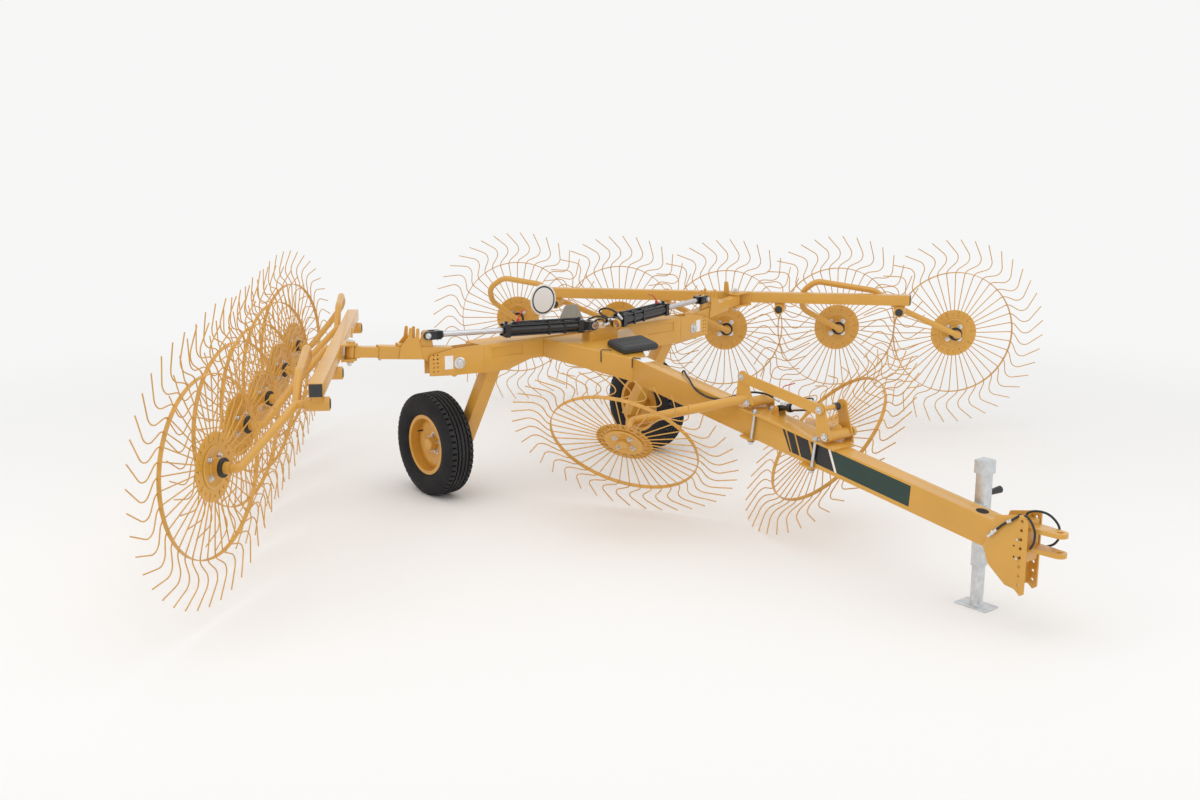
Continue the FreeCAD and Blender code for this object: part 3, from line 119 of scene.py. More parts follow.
def turns(count):
    """Angles evenly spaced round a circle."""
    return [2 * pi * i / count for i in range(count)]


def swing(first, second, turn):
    """A direction turned from the first towards the second."""
    return first * cos(turn) + second * sin(turn)


def circle(centre, first, second, radius, count):
    """Points of a circle in the plane of two directions."""
    return [centre + swing(first, second, turn) * radius for turn in turns(count)]


def put(name, data):
    """A new object in the scene."""
    thing = bpy.data.objects.new(name, data)
    bpy.context.scene.collection.objects.link(thing)
    return thing


def downhill(fall):
    """The directions down along a slope and square to it, for a fall per length."""
    slope = atan(fall)
    return Vector((cos(slope), 0, -sin(slope))), Vector((sin(slope), 0, cos(slope)))


def rectangle(left, right, low, high):
    """A rectangle's corners."""
    return [(left, low), (right, low), (right, high), (left, high)]


def box_section(half):
    """A square's corners about its middle."""
    return rectangle(-half, half, -half, half)


def arc(x, y, radius, start, end, steps=8):
    """Points of an arc in degrees."""
    turns = [radians(start + (end - start) * i / steps) for i in range(steps + 1)]
    return [(x + radius * cos(t), y + radius * sin(t)) for t in turns]


def rounded(points, radius, steps=5):
    """The points with each inner corner rounded by an arc."""
    line = [points[0]]
    for before, corner, after in zip(points, points[1:], points[2:]):
        come, leave = (corner - before).normalized(), (after - corner).normalized()
        turn = come.angle(leave)
        if turn < 0.03:
            line.append(corner)
            continue
        cut = min(radius * tan(turn / 2), 0.48 * min((corner - before).length, (after - corner).length))
        bend = cut / tan(turn / 2)
        centre = corner + (leave - come).normalized() * hypot(bend, cut)
        normal = come.cross(leave).normalized()
        start = corner - come * cut - centre
        line += [centre + Matrix.Rotation(turn * i / steps, 3, normal) @ start for i in range(steps + 1)]
    return line + [points[-1]]


def smooth_path(points, steps=6):
    """A smooth line through all the points."""
    line = []
    ends = [points[0] * 2 - points[1]] + list(points) + [points[-1] * 2 - points[-2]]
    for a, b, c, d in zip(ends, ends[1:], ends[2:], ends[3:]):
        for i in range(steps):
            t = i / steps
            line.append(0.5 * (
                2 * b + (c - a) * t + (2 * a - 5 * b + 4 * c - d) * t * t + (3 * b - a - 3 * c + d) * t ** 3
            ))
    return line + [points[-1]]


# ---- camera, floor and light ----

CAMERA_AT = Vector((6.4919, -5.6563, 2.6251))
CAMERA_YAW = 2.45136
CAMERA_PITCH = 0.22385
CAMERA_LENS = 40.866
BACKDROP = (0.925, 0.925, 0.92, 1)
SURROUND = 0.83
FLOOR_SIZE = 120
FLOOR_COLOR = (0.93, 0.925, 0.915, 1)
FLOOR_FADES = (3.5, 8)
LAMPS = (
    ("lamp_above", (1, -1.5, 6.5), (0, 0, 0.4), (8, 6), 105),
    ("lamp_left", (-1.5, -7.5, 4.2), (0, 0, 0.5), (5, 3), 48),
    ("lamp_front", (7.5, 2.5, 3.6), (0.5, 0, 0.5), (4, 3), 42),
)


def fill(tree, node, inputs):
    """A node's inputs: another node's output is linked, and anything else is set."""
    for name, value in inputs.items():
        if isinstance(value, bpy.types.NodeSocket):
            tree.links.new(value, node.inputs[name])
        else:
            node.inputs[name].default_value = value


def add(tree, kind, inputs, **settings):
    """A new shader node with its settings and inputs."""
    node = tree.nodes.new("ShaderNode" + kind)
    for name, value in settings.items():
        setattr(node, name, value)
    fill(tree, node, inputs)
    return node


def new_material(name):
    """An empty node material, its tree and its shader."""
    material = bpy.data.materials.new(name)
    material.use_nodes = True
    return material, material.node_tree, material.node_tree.nodes["Principled BSDF"]


def make_camera():
    """The photograph's viewpoint."""
    data = bpy.data.cameras.new("camera")
    data.sensor_width = 36
    data.lens = CAMERA_LENS
    data.clip_end = 200
    camera = put("camera", data)
    level = cos(CAMERA_PITCH)
    look = Vector((level * cos(CAMERA_YAW), level * sin(CAMERA_YAW), -sin(CAMERA_PITCH)))
    camera.location = CAMERA_AT
    camera.rotation_euler = look.to_track_quat("-Z", "Y").to_euler()
    bpy.context.scene.camera = camera


def make_lamp(name, at, towards, size, power):
    """A large soft lamp."""
    data = bpy.data.lights.new(name, "AREA")
    data.shape = "RECTANGLE"
    data.size, data.size_y = size
    data.energy = power
    lamp = put(name, data)
    lamp.location = at
    lamp.rotation_euler = (Vector(towards) - Vector(at)).to_track_quat("-Z", "Y").to_euler()


def make_surround():
    """An even white light all round, which the camera, gloss and glass see as the plain backdrop."""
    bpy.context.scene.view_settings.view_transform = "Standard"
    world = bpy.data.worlds.new("studio")
    world.use_nodes = True
    bpy.context.scene.world = world
    tree = world.node_tree
    tree.nodes.clear()
    rays = add(tree, "LightPath", {}).outputs
    seen = add(tree, "Math", {0: rays["Is Camera Ray"], 1: rays["Is Glossy Ray"]}, operation="MAXIMUM")
    plain = add(tree, "Math", {0: seen.outputs[0], 1: rays["Is Transmission Ray"]}, operation="MAXIMUM")
    light = add(tree, "Background", {"Color": (1, 1, 1, 1), "Strength": SURROUND})
    backdrop = add(tree, "Background", {"Color": BACKDROP})
    mix = add(tree, "MixShader", {0: plain.outputs[0], 1: light.outputs[0], 2: backdrop.outputs[0]})
    add(tree, "OutputWorld", {"Surface": mix.outputs[0]})


def make_floor():
    """A pale floor that fades into the backdrop away from the machine."""
    bpy.ops.mesh.primitive_plane_add(size=FLOOR_SIZE, location=(0, 0, 0))
    floor = bpy.context.object
    floor.name = "floor"
    material, tree, shader = new_material("floor_paper")
    fill(tree, shader, {"Base Color": FLOOR_COLOR, "Roughness": 0.9, "Specular IOR Level": 0.1})
    spot = add(tree, "NewGeometry", {}).outputs["Position"]
    away = add(tree, "VectorMath", {0: spot}, operation="LENGTH").outputs["Value"]
    fade = add(
        tree, "MapRange", {"From Min": FLOOR_FADES[0], "From Max": FLOOR_FADES[1], "Value": away},
        interpolation_type="SMOOTHSTEP",
    )
    plain = add(tree, "Emission", {"Color": BACKDROP})
    blend = add(tree, "MixShader", {0: fade.outputs["Result"], 1: shader.outputs[0], 2: plain.outputs[0]})
    fill(tree, tree.nodes["Material Output"], {"Surface": blend.outputs[0]})
    floor.data.materials.append(material)


# ---- finishes ----

def mottled(name, color, spread, scale, roughness, metallic=0, rough_spread=0.08, grain=(400, 0.0003),
            coat=0, stretch=(1, 1, 1), shine=0.5):
    """A finish whose colour, gloss and surface vary a little from place to place.

    spread is how far the colour goes each way, scale how fine its clouds are, and grain the surface's own
    fineness and depth.
    """
    material, tree, shader = new_material(name)
    where = add(tree, "TexCoord", {}).outputs["Object"]
    spot = add(tree, "Mapping", {"Scale": stretch, "Vector": where}).outputs[0]
    clouds = add(tree, "TexNoise", {"Scale": scale, "Detail": 6, "Roughness": 0.6, "Vector": spot})
    ramp = add(tree, "ValToRGB", {"Fac": clouds.outputs["Fac"]})
    for stop, at, way in zip(ramp.color_ramp.elements, (0.3, 0.72), (-1, 1)):
        stop.position = at
        stop.color = (*[min(1, max(0, c * (1 + way * spread))) for c in color], 1)
    spots = add(tree, "TexNoise", {"Scale": scale * 7, "Detail": 3, "Vector": spot})
    gloss = add(tree, "MapRange", {
        "To Min": max(0.02, roughness - rough_spread), "To Max": min(1, roughness + rough_spread),
        "Value": spots.outputs["Fac"],
    })
    fine = add(tree, "TexNoise", {"Scale": grain[0], "Detail": 2, "Vector": spot})
    bump = add(tree, "Bump", {"Strength": 0.5, "Distance": grain[1], "Height": fine.outputs["Fac"]})
    fill(tree, shader, {
        "Base Color": ramp.outputs["Color"], "Roughness": gloss.outputs["Result"], "Metallic": metallic,
        "Normal": bump.outputs["Normal"], "Coat Weight": coat, "Specular IOR Level": shine,
    })
    return material


PAINT = mottled("ochre_paint", (0.66, 0.342, 0.052), 0.06, 2.2, 0.34, grain=(260, 0.0004), coat=0.2)
TINE_PAINT = mottled("tine_paint", (0.64, 0.335, 0.062), 0.12, 14, 0.4, grain=(300, 0.0003))
RUBBER = mottled("tyre_rubber", (0.016, 0.016, 0.018), 0.35, 9, 0.78, grain=(500, 0.0006), shine=0.3)
TREAD = mottled("tyre_ribs", (0.034, 0.034, 0.036), 0.3, 12, 0.85, grain=(420, 0.0006), shine=0.3)
# Painted shade: a darker rubber for the faces deep in the tread's grooves.
GROOVE_SHADE = mottled("tyre_groove_shade", (0.007, 0.007, 0.008), 0.3, 12, 0.9, grain=(420, 0.0004), shine=0.15)
BLACK_PAINT = mottled("black_paint", (0.009, 0.009, 0.01), 0.3, 12, 0.22, grain=(300, 0.0003), coat=0.2)
CHROME = mottled("chrome", (0.6, 0.6, 0.62), 0.05, 30, 0.16, 1, 0.05, grain=(900, 0.00005))
ZINC = mottled("zinc_plate", (0.62, 0.64, 0.655), 0.16, 26, 0.38, 0.85, 0.12, grain=(180, 0.0003))
BRIGHT = mottled("bright_steel", (0.7, 0.7, 0.7), 0.1, 40, 0.28, 1, 0.1, grain=(500, 0.0002))
PLASTIC = mottled("black_plastic", (0.035, 0.036, 0.038), 0.15, 20, 0.55, grain=(650, 0.0006))
HOSE = mottled("hose_rubber", (0.017, 0.017, 0.018), 0.3, 30, 0.5, grain=(800, 0.0005))
WHITE_SHEET = mottled("white_sheet", (0.86, 0.86, 0.86), 0.02, 8, 0.35, grain=(300, 0.0001))
BLACK_FILM = mottled("black_film", (0.016, 0.016, 0.017), 0.2, 12, 0.4, grain=(300, 0.0001))
GREEN_FILM = mottled("green_film", (0.012, 0.038, 0.029), 0.12, 8, 0.4, grain=(300, 0.0001))
BARE_SHEET = mottled(
    "bare_sheet", (0.42, 0.44, 0.42), 0.08, 5, 0.42, 0.6, 0.1, grain=(240, 0.0002), stretch=(1, 8, 1),
)
COPPER = mottled("copper_plate", (0.42, 0.19, 0.09), 0.14, 30, 0.4, 0.8, grain=(300, 0.0002))
RED_PLASTIC = mottled("red_plastic", (0.6, 0.02, 0.025), 0.1, 20, 0.4, grain=(400, 0.0002))
# Painted shade: a near-black laid where holes, slits and open tube mouths show only shade.
SHADE = mottled("painted_gap_shade", (0.01, 0.009, 0.008), 0.2, 20, 0.8, grain=(300, 0.0002))
FINISH_OF_SLOT = {
    "paint": PAINT, "tyre": RUBBER, "chrome": CHROME, "black_metal": BLACK_PAINT, "galvanised": ZINC,
    "black_plastic": PLASTIC, "sign_white": WHITE_SHEET, "aluminium": BARE_SHEET,
}


# ---- building pieces ----

class Piece:
    """A mesh put together from simple forms, in its own finish or in others."""

    def __init__(self, name, finish=PAINT):
        self.name = name
        self.finish = finish
        self.mesh = bmesh.new()
        self.finishes = []

    def skin(self, rings, finish=None, caps=True, ends_join=False):
        """A surface through rings of points."""
        finish = finish or self.finish
        if finish not in self.finishes:
            self.finishes.append(finish)
        index = self.finishes.index(finish)
        rows = [[self.mesh.verts.new(point) for point in ring] for ring in rings]
        count = len(rows[0])
        pairs = list(zip(rows, rows[1:]))
        if ends_join:
            pairs.append((rows[-1], rows[0]))
        loops = [(near[i], near[(i + 1) % count], far[(i + 1) % count], far[i])
                 for near, far in pairs for i in range(count)]
        if caps and not ends_join:
            loops += [list(reversed(rows[0])), rows[-1]]
        for loop in loops:
            face = self.mesh.faces.new(loop)
            face.material_index = index
            face.smooth = True

    def lathe(self, profile, origin, direction, sides=24, finish=None, caps=True):
        """A turned form: profile holds (radius, place along the direction)."""
        side, other = square(direction)
        direction = direction.normalized()
        rings = [circle(origin + direction * along, side, other, max(radius, THINNEST), sides)
                 for radius, along in profile]
        self.skin(rings, finish, caps)

    def tube(self, points, radius, sides=10, finish=None):
        """A round bar along points, with its frame carried on from point to point."""
        across = square(points[1] - points[0])[0]
        rings = []
        for index, point in enumerate(points):
            before = points[max(index - 1, 0)]
            after = points[min(index + 1, len(points) - 1)]
            forward = (after - before).normalized()
            across = (across - forward * across.dot(forward)).normalized()
            other = forward.cross(across)
            size = radius[index] if isinstance(radius, list) else radius
            rings.append(circle(point, across, other, size, sides))
        self.skin(rings, finish)

    def slab(self, outline, thickness, origin, x_axis, y_axis, finish=None, edge=0.001):
        """A flat convex plate with softened edges, its outline in the plane of the two axes."""
        normal = x_axis.cross(y_axis)
        corners = [Vector(corner) for corner in outline]
        middle = sum(corners, Vector((0, 0))) / len(corners)
        small = 1 - edge / max((corner - middle).length for corner in corners)
        rings = []
        for height, scale in ((0, small), (edge, 1), (thickness - edge, 1), (thickness, small)):
            spots = [middle + (corner - middle) * scale for corner in corners]
            rings.append([origin + x_axis * spot.x + y_axis * spot.y + normal * height for spot in spots])
        self.skin(rings, finish)

    def plate(self, outline, thickness, origin, x_axis, y_axis, finish=None):
        """A flat plate of any outline, on both sides of the plane of the two axes."""
        normal = x_axis.cross(y_axis).normalized() * (thickness / 2)
        flat = [origin + x_axis * x + y_axis * y for x, y in outline]
        self.skin([[point - normal for point in flat], [point + normal for point in flat]], finish)

    def bolt(self, origin, direction, across, finish=BRIGHT, washer=True):
        """A washer and a chamfered hexagon head."""
        radius = across / sqrt(3)
        height = across * 0.65
        base = across * 0.12 if washer else 0
        if washer:
            self.lathe([(across * 0.95, 0), (across * 0.95, base)], origin, direction, 18, finish)
        head = [(radius, base), (radius, base + height * 0.82), (radius * 0.86, base + height)]
        self.lathe(head, origin, direction, 6, finish)
        end = [(across * 0.3, base + height - 0.001), (across * 0.27, base + height + across * 0.18)]
        self.lathe(end, origin, direction, 12, finish)

    def make(self, body="frame", bevel=0, stands_for=None):
        """The finished object, riding on a body, with its sharp edges rounded where a bevel is given."""
        bmesh.ops.recalc_face_normals(self.mesh, faces=self.mesh.faces)
        for edge in self.mesh.edges:
            if len(edge.link_faces) == 2 and edge.calc_face_angle(0) > SHARP:
                edge.smooth = False
        data = bpy.data.meshes.new(self.name)
        self.mesh.to_mesh(data)
        self.mesh.free()
        for finish in self.finishes:
            data.materials.append(finish)
        thing = put(self.name, data)
        if bevel:
            round_edges(thing, bevel)
        if stands_for:
            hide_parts(stands_for)
        if body:
            dress(thing, body)
        return thing


def round_edges(thing, width):
    """The thing's sharp edges rounded over."""
    bevel = thing.modifiers.new("bevel", "BEVEL")
    bevel.width = width
    bevel.segments = 2
    bevel.limit_method = "ANGLE"
    bevel.angle_limit = radians(30)
    bevel.harden_normals = True
    bpy.context.view_layer.objects.active = thing
    thing.select_set(True)
    bpy.ops.object.modifier_apply(modifier="bevel")
    thing.select_set(False)


def dress(thing, body):
    """The piece rides on its body."""
    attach(thing, body)


def soften(node, finish, width=0.002, trim=None, shift=None):
    """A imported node's own shape with its edges rounded over, standing for the node.

    trim holds a point and a direction: what lies beyond them is taken off. shift gives how far a point moves.
    """
    source = frame["nodes"][node]
    data = source.data.copy()
    data.materials.clear()
    data.materials.append(finish)
    mesh = bmesh.new()
    mesh.from_mesh(data)
    bmesh.ops.remove_doubles(mesh, verts=mesh.verts, dist=0.00002)
    bmesh.ops.dissolve_limit(mesh, angle_limit=radians(0.5), verts=mesh.verts, edges=mesh.edges)
    if shift:
        for vert in mesh.verts:
            vert.co += shift(vert.co)
    if trim:
        beyond = [vert for vert in mesh.verts if (vert.co - trim[0]).dot(trim[1]) > 0]
        bmesh.ops.delete(mesh, geom=beyond, context="VERTS")
        bmesh.ops.holes_fill(mesh, edges=[edge for edge in mesh.edges if edge.is_boundary])
        bmesh.ops.recalc_face_normals(mesh, faces=mesh.faces)
    for face in mesh.faces:
        face.smooth = True
        face.material_index = 0
    mesh.to_mesh(data)
    mesh.free()
    piece = put(node + "_shape", data)
    round_edges(piece, width)
    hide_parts(node)
    dress(piece, source["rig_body"])
    return piece


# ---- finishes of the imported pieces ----

def finish_nodes():
    """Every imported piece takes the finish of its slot."""
    for part in frame["record"]["subparts"]:
        thing = frame["nodes"][part["node"]]
        thing.data.materials.clear()
        thing.data.materials.append(FINISH_OF_SLOT[part["material_slot"]])


SOFT_EDGES = {
    "cross_frame": 0.006, "tongue_gusset": 0.005, "tongue": 0.007, "hitch_head": 0.002, "hitch_clevis": 0.003,
    "jack_tube": 0.003, "jack_leg": 0.003, "frame_leg": 0.005, "arm_bracket": 0.002, "arm_tube": 0.003,
    "rake_beam": 0.005, "beam_yoke": 0.002, "kicker_barrel": 0.001, "speed_sign": 0.001,
}


def soften_nodes():
    """The plates and tubes get rounded edges."""
    for part in frame["record"]["subparts"]:
        node = part["node"]
        stem = node.removesuffix("_left").removesuffix("_right")
        if stem in SOFT_EDGES:
            soften(node, FINISH_OF_SLOT[part["material_slot"]], SOFT_EDGES[stem])


# ---- tined wheels ----

TINES = 40
TINE_RADIUS = 0.0035
TINE_BEND_AT = 0.475
TINE_BEND = radians(57)
TINE_MIDDLE = 0.15
TINE_HOOK = radians(90)
TINE_END = 0.183
TINE_CORNERS = 0.06
HUB_RADIUS = 0.177
HUB_PLATE = 0.006
HUB_BORE = 0.016
HUB_BOLTS_AT = 0.066
LOOP_AT = HUB_RADIUS - 0.03
SLIT_SHADE_ENDS = (0.128, 0.172)
RING_RADIUS = 0.465
RING_WIDTH = 0.024
RING_OUT = 0.03
RING_SIDES = 160


def tine_path(angle):
    """One tine from the hub to its tip, in the wheel's own frame."""
    face = HUB_PLATE + TINE_RADIUS
    root = Vector((LOOP_AT, 0, face))
    edge = Vector((HUB_RADIUS + 0.004, 0, face))
    knee = Vector((TINE_BEND_AT, 0, RING_OUT))
    elbow = knee + spoke(-TINE_BEND) * TINE_MIDDLE
    tip = elbow + spoke(TINE_HOOK - TINE_BEND) * TINE_END
    bends = rounded([edge, knee, elbow, tip], TINE_CORNERS, 7)
    turn = Matrix.Rotation(angle, 3, "Z")
    return [turn @ point for point in [root] + bends]


def add_twin_tines(wheel):
    """The tines, two by two from one wire that loops round a rivet on the hub."""
    step = 2 * pi / TINES
    for pair in range(TINES // 2):
        first, second = tine_path(2 * pair * step), tine_path((2 * pair + 1) * step)
        out = spoke((2 * pair + 0.5) * step)
        loop_at = out * LOOP_AT
        loop_at.z = first[0].z
        spread = (first[0] - second[0]) / 2
        inward = -out * spread.length
        bend = [pi * i / 6 for i in range(1, 6)]
        loop = [loop_at + spread * cos(turn) + inward * sin(turn) for turn in bend]
        wheel.tube(list(reversed(first)) + loop + second, TINE_RADIUS, 7, TINE_PAINT)
        wheel.lathe([(0.007, 0), (0.007, 0.006), (0.004, 0.008)], loop_at - Z * TINE_RADIUS, Z, 10)
        behind = loop_at - Z * (TINE_RADIUS + HUB_PLATE)
        wheel.lathe([(0.007, 0), (0.007, 0.004), (0.004, 0.006)], behind, -Z, 10)


def add_hub(wheel):
    """Two clamped plates, the bearing's tube with its black seal, a cap, four bolts, and ten slits drawn as
    dark marks of painted shade.
    """
    plate = [
        (HUB_BORE, 0), (HUB_RADIUS - 0.002, 0), (HUB_RADIUS, 0.002), (HUB_RADIUS, HUB_PLATE - 0.002),
        (HUB_RADIUS - 0.002, HUB_PLATE), (HUB_BORE, HUB_PLATE),
    ]
    face = [
        (HUB_BORE, 0.006), (0.118, 0.006), (0.122, 0.01), (0.122, 0.013), (0.119, 0.015), (0.1, 0.015),
        (0.095, 0.012), (HUB_BORE, 0.012),
    ]
    tube = [
        (HUB_BORE, 0), (0.108, 0), (0.112, -0.003), (0.108, -0.006), (0.098, -0.006), (0.092, -0.003),
        (0.05, -0.003), (0.044, -0.008), (0.044, -0.055), (0.0375, -0.056), (HUB_BORE, -0.056),
    ]
    seal = [
        (0.043, -0.04), (0.049, -0.041), (0.0505, -0.044), (0.0505, -0.055), (0.048, -0.0585),
        (0.034, -0.0592), (HUB_BORE, -0.059),
    ]
    cap = [(0.036, 0.012), (0.036, 0.026), (0.031, 0.031), (0, 0.033)]
    for profile, finish, sides in (
        (plate, PAINT, 72), (face, PAINT, 56), (tube, PAINT, 56), (seal, HOSE, 40), (cap, PAINT, 32),
    ):
        wheel.lathe(profile, Vector(), Z, sides, finish, caps=False)
    for number in range(4):
        out = spoke(pi / 4 + number * pi / 2) * HUB_BOLTS_AT
        wheel.bolt(out + Z * 0.012, Z, 0.019)
        wheel.bolt(out - Z * 0.003, -Z, 0.019)
    # The slits are not cut: thin dark slabs on both faces of the plate paint their shade.
    for number in range(10):
        out = spoke(number * pi / 5 + 0.1)
        side = Vector((-out.y, out.x, 0))
        for height in (-0.0004, HUB_PLATE - 0.0006):
            wheel.slab(rectangle(*SLIT_SHADE_ENDS, -0.001, 0.001), 0.001, Z * height, out, side, SHADE, 0.0001)


def add_ring(wheel):
    """The flat ring that the tines pass through."""
    slope = (RING_OUT - HUB_PLATE / 2) / (TINE_BEND_AT - HUB_RADIUS)
    low = RING_OUT - slope * (TINE_BEND_AT - RING_RADIUS) + 0.0021 - RING_WIDTH
    section = (
        (RING_RADIUS, 0.001), (RING_RADIUS, RING_WIDTH - 0.001), (RING_RADIUS - 0.001, RING_WIDTH),
        (RING_RADIUS - 0.004, RING_WIDTH), (RING_RADIUS - 0.005, RING_WIDTH - 0.001),
        (RING_RADIUS - 0.005, 0.001), (RING_RADIUS - 0.004, 0), (RING_RADIUS - 0.001, 0),
    )
    rings = [[spoke(turn) * radius + Z * (low + height) for radius, height in section]
             for turn in turns(RING_SIDES)]
    wheel.skin(rings, TINE_PAINT, ends_join=True)


def tined_wheel(name, mirrored):
    """A tined wheel about Z, with its hub's tube on the far side."""
    wheel = Piece(name)
    add_twin_tines(wheel)
    add_hub(wheel)
    add_ring(wheel)
    if mirrored:
        bmesh.ops.scale(wheel.mesh, vec=(-1, 1, 1), verts=wheel.mesh.verts)
    return wheel.make(None)


def stand_wheel(twin, stem, which, sign):
    """A copy of the tined wheel on its axle, its face turned to the machine's side, for one packed wheel."""
    joint = f"{stem}_spin_{which}"
    out = axis(joint)
    if out.y * sign < 0:
        out = -out
    if stem == "kicker":
        x_axis = out.cross(Z).normalized()
        y_axis = out.cross(x_axis)
    else:
        x_axis = Z.cross(out)
        y_axis = Z
    node = f"{stem}_wheel_{which}"
    wheel = put(node + "_tined", twin.data)
    stand = Matrix((x_axis, y_axis, out)).transposed().to_4x4()
    wheel.matrix_world = Matrix.Translation(place(joint)) @ stand
    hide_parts(node)
    dress(wheel, f"{stem}_rotor_{which}")


def make_tined_wheels():
    """Five wheels on each beam and a kicker on each side, whose hooks are turned as a mirrored pair."""
    plain, mirrored = tined_wheel("tined_wheel", False), tined_wheel("tined_wheel_mirrored", True)
    for side, sign in SIDES:
        twin = mirrored if sign > 0 else plain
        for number in range(1, 6):
            stand_wheel(twin, "rake", f"{side}_{number}", sign)
        stand_wheel(twin, "kicker", side, sign)
    for twin in (plain, mirrored):
        bpy.data.objects.remove(twin)


# ---- ground wheels ----

TYRE_RADIUS = 0.343
TREAD_HALF = 0.079
TREAD_ROWS = 52
TREAD_BLOCKS = 54
GROOVES_AT = (-0.041, -0.014, 0.014, 0.041)
GROOVE_HALF = 0.0032
GROOVE_DEPTH = 0.007
BEAD = [(0.186, 0.0695), (0.196, 0.07), (0.2035, 0.076)]
RIM_DISC = [
    (0.168, -0.002), (0.166, 0.004), (0.15, 0.01), (0.135, 0.011), (0.118, 0.006), (0.1, 0.001),
    (0.088, 0.0005),
]


def zigzag(waves):
    """A wave between -1 and 1 with straight flanks."""
    return 4 * abs(waves - floor(waves + 0.5)) - 1


def tread_depth(angle, across):
    """How deep the tread is cut at a place round and across the tyre."""
    depth = 0
    for groove in GROOVES_AT:
        line = groove + 0.0022 * zigzag(angle * TREAD_BLOCKS / (2 * pi) + groove * 40)
        if abs(across - line) < GROOVE_HALF:
            depth = GROOVE_DEPTH
    slot = (angle * TREAD_BLOCKS / (2 * pi) + (0.5 if across > 0 else 0)) % 1
    if abs(across) > 0.053 and slot < 0.16:
        depth = max(depth, GROOVE_DEPTH * 0.7)
    sipe = (angle * 2 * TREAD_BLOCKS / (2 * pi) + across * 30) % 1
    if abs(across) < 0.05 and sipe < 0.14:
        depth = max(depth, GROOVE_DEPTH * 0.35)
    return depth


def crown_radius(across):
    """The tread's outer radius at a place across the tyre."""
    edge = max(0, abs(across) - 0.062)
    return TYRE_RADIUS - edge * edge * 18 - 0.0008 * (across / TREAD_HALF) ** 2


def make_tyre(side):
    """The tyre: a bulging casing with ribs on its walls and a cut tread, its grooves darkened with painted
    shade.
    """
    tyre = Piece("tyre_casing_" + side, RUBBER)
    hub = place(f"ground_wheel_{side}_spin")
    wall = list(BEAD)
    for t in range(13):
        lean = radians(-62 + t * 10.6)
        rib = 0.0012 if t in (4, 7) else 0
        wall.append((0.266 + 0.066 * sin(lean), 0.066 + 0.0365 * cos(lean) + rib))
    crown = [TREAD_HALF * (1 - 2 * i / TREAD_ROWS) for i in range(TREAD_ROWS + 1)]
    rings = []
    for angle in turns(8 * TREAD_BLOCKS):
        out = swing(X, Z, angle)
        tread = [hub + out * (crown_radius(across) - tread_depth(angle, across)) + Y * across
                 for across in crown]
        near = [hub + out * radius + Y * across for radius, across in wall]
        far = [hub + out * radius - Y * across for radius, across in reversed(wall)]
        rings.append(near + tread + far)
    tyre.skin(rings, ends_join=True)
    tyre.finishes += [TREAD, GROOVE_SHADE]
    # Faces deep in the grooves take the near-black groove rubber as painted shade.
    for face in tyre.mesh.faces:
        offset = face.calc_center_median() - hub
        across = abs(offset.y)
        below = crown_radius(across) - hypot(offset.x, offset.z)
        if across < TREAD_HALF and below < GROOVE_DEPTH * 1.3:
            face.material_index = 2 if below > GROOVE_DEPTH * 0.22 else 1
    tyre.make("ground_wheel_" + side, stands_for="tyre_" + side)


def make_rim_details(side, sign):
    """Wheel nuts, hub cap, valve and the dish of a pressed steel wheel."""
    details = Piece("rim_details_" + side)
    out = Y * sign
    disc = place(f"ground_wheel_{side}_spin") + out * 0.008
    details.lathe(RIM_DISC, disc, out, 64, caps=False)
    cap = [(0.041, 0), (0.041, 0.04), (0.036, 0.047), (0, 0.049)]
    details.lathe(cap, disc, out, 28, caps=False)
    for number in range(5):
        turn = radians(90 + 72 * number)
        details.bolt(disc + swing(X, Z, turn) * 0.057, out, 0.021)
    spot = disc + swing(X, Z, radians(150)) * 0.135 + out * 0.008
    details.tube([spot, spot + out * 0.02, spot + out * 0.042], [0.006, 0.005, 0.0035], 10, HOSE)
    details.make("ground_wheel_" + side)


def make_ground_wheels():
    """Both tyres, and the trim of their rims."""
    for side, sign in SIDES:
        make_tyre(side)
        make_rim_details(side, sign)


# ---- lift arms and their cylinders ----

SWEEP = radians(14)
ARM_RISE = radians(5.2)
SLEEVE_TOP = 0.095
SLEEVE_HALF = 0.039
COMB_PLATE = 0.01
ROD_PIN = (0.2145, 0.1662)
FORK_GAP = 0.038
FORK_TINE = 0.015
FORK_LUG = 0.026
FORK_OUTSIDE = FORK_GAP / 2 + FORK_TINE
PIN_RADIUS = 0.015
CYLINDER_SHIFT = 0.016
CYLINDER_BACK = 0.012
BARREL = (0.083, 0.628)
BARREL_RADIUS = 0.0385
BARREL_BANDS = (0.215, 0.325)
CAP_LENGTH = 0.036
CAP_HALF = 0.043
BAND_LENGTH = 0.016
BAND_HALF = 0.041
TIE_ROD_AT = 0.032
ROD_RADIUS = 0.0175
ROD_STARTS = 0.588


def arm_axes(sign):
    """A lift arm's directions: out along it, forward along its hinge, and up."""
    out = Vector((-sin(SWEEP), sign * cos(SWEEP), 0))
    ahead = Vector((cos(SWEEP), sign * sin(SWEEP), 0))
    along = out * cos(ARM_RISE) + Z * sin(ARM_RISE)
    up = Z * cos(ARM_RISE) - out * sin(ARM_RISE)
    return along, ahead, up


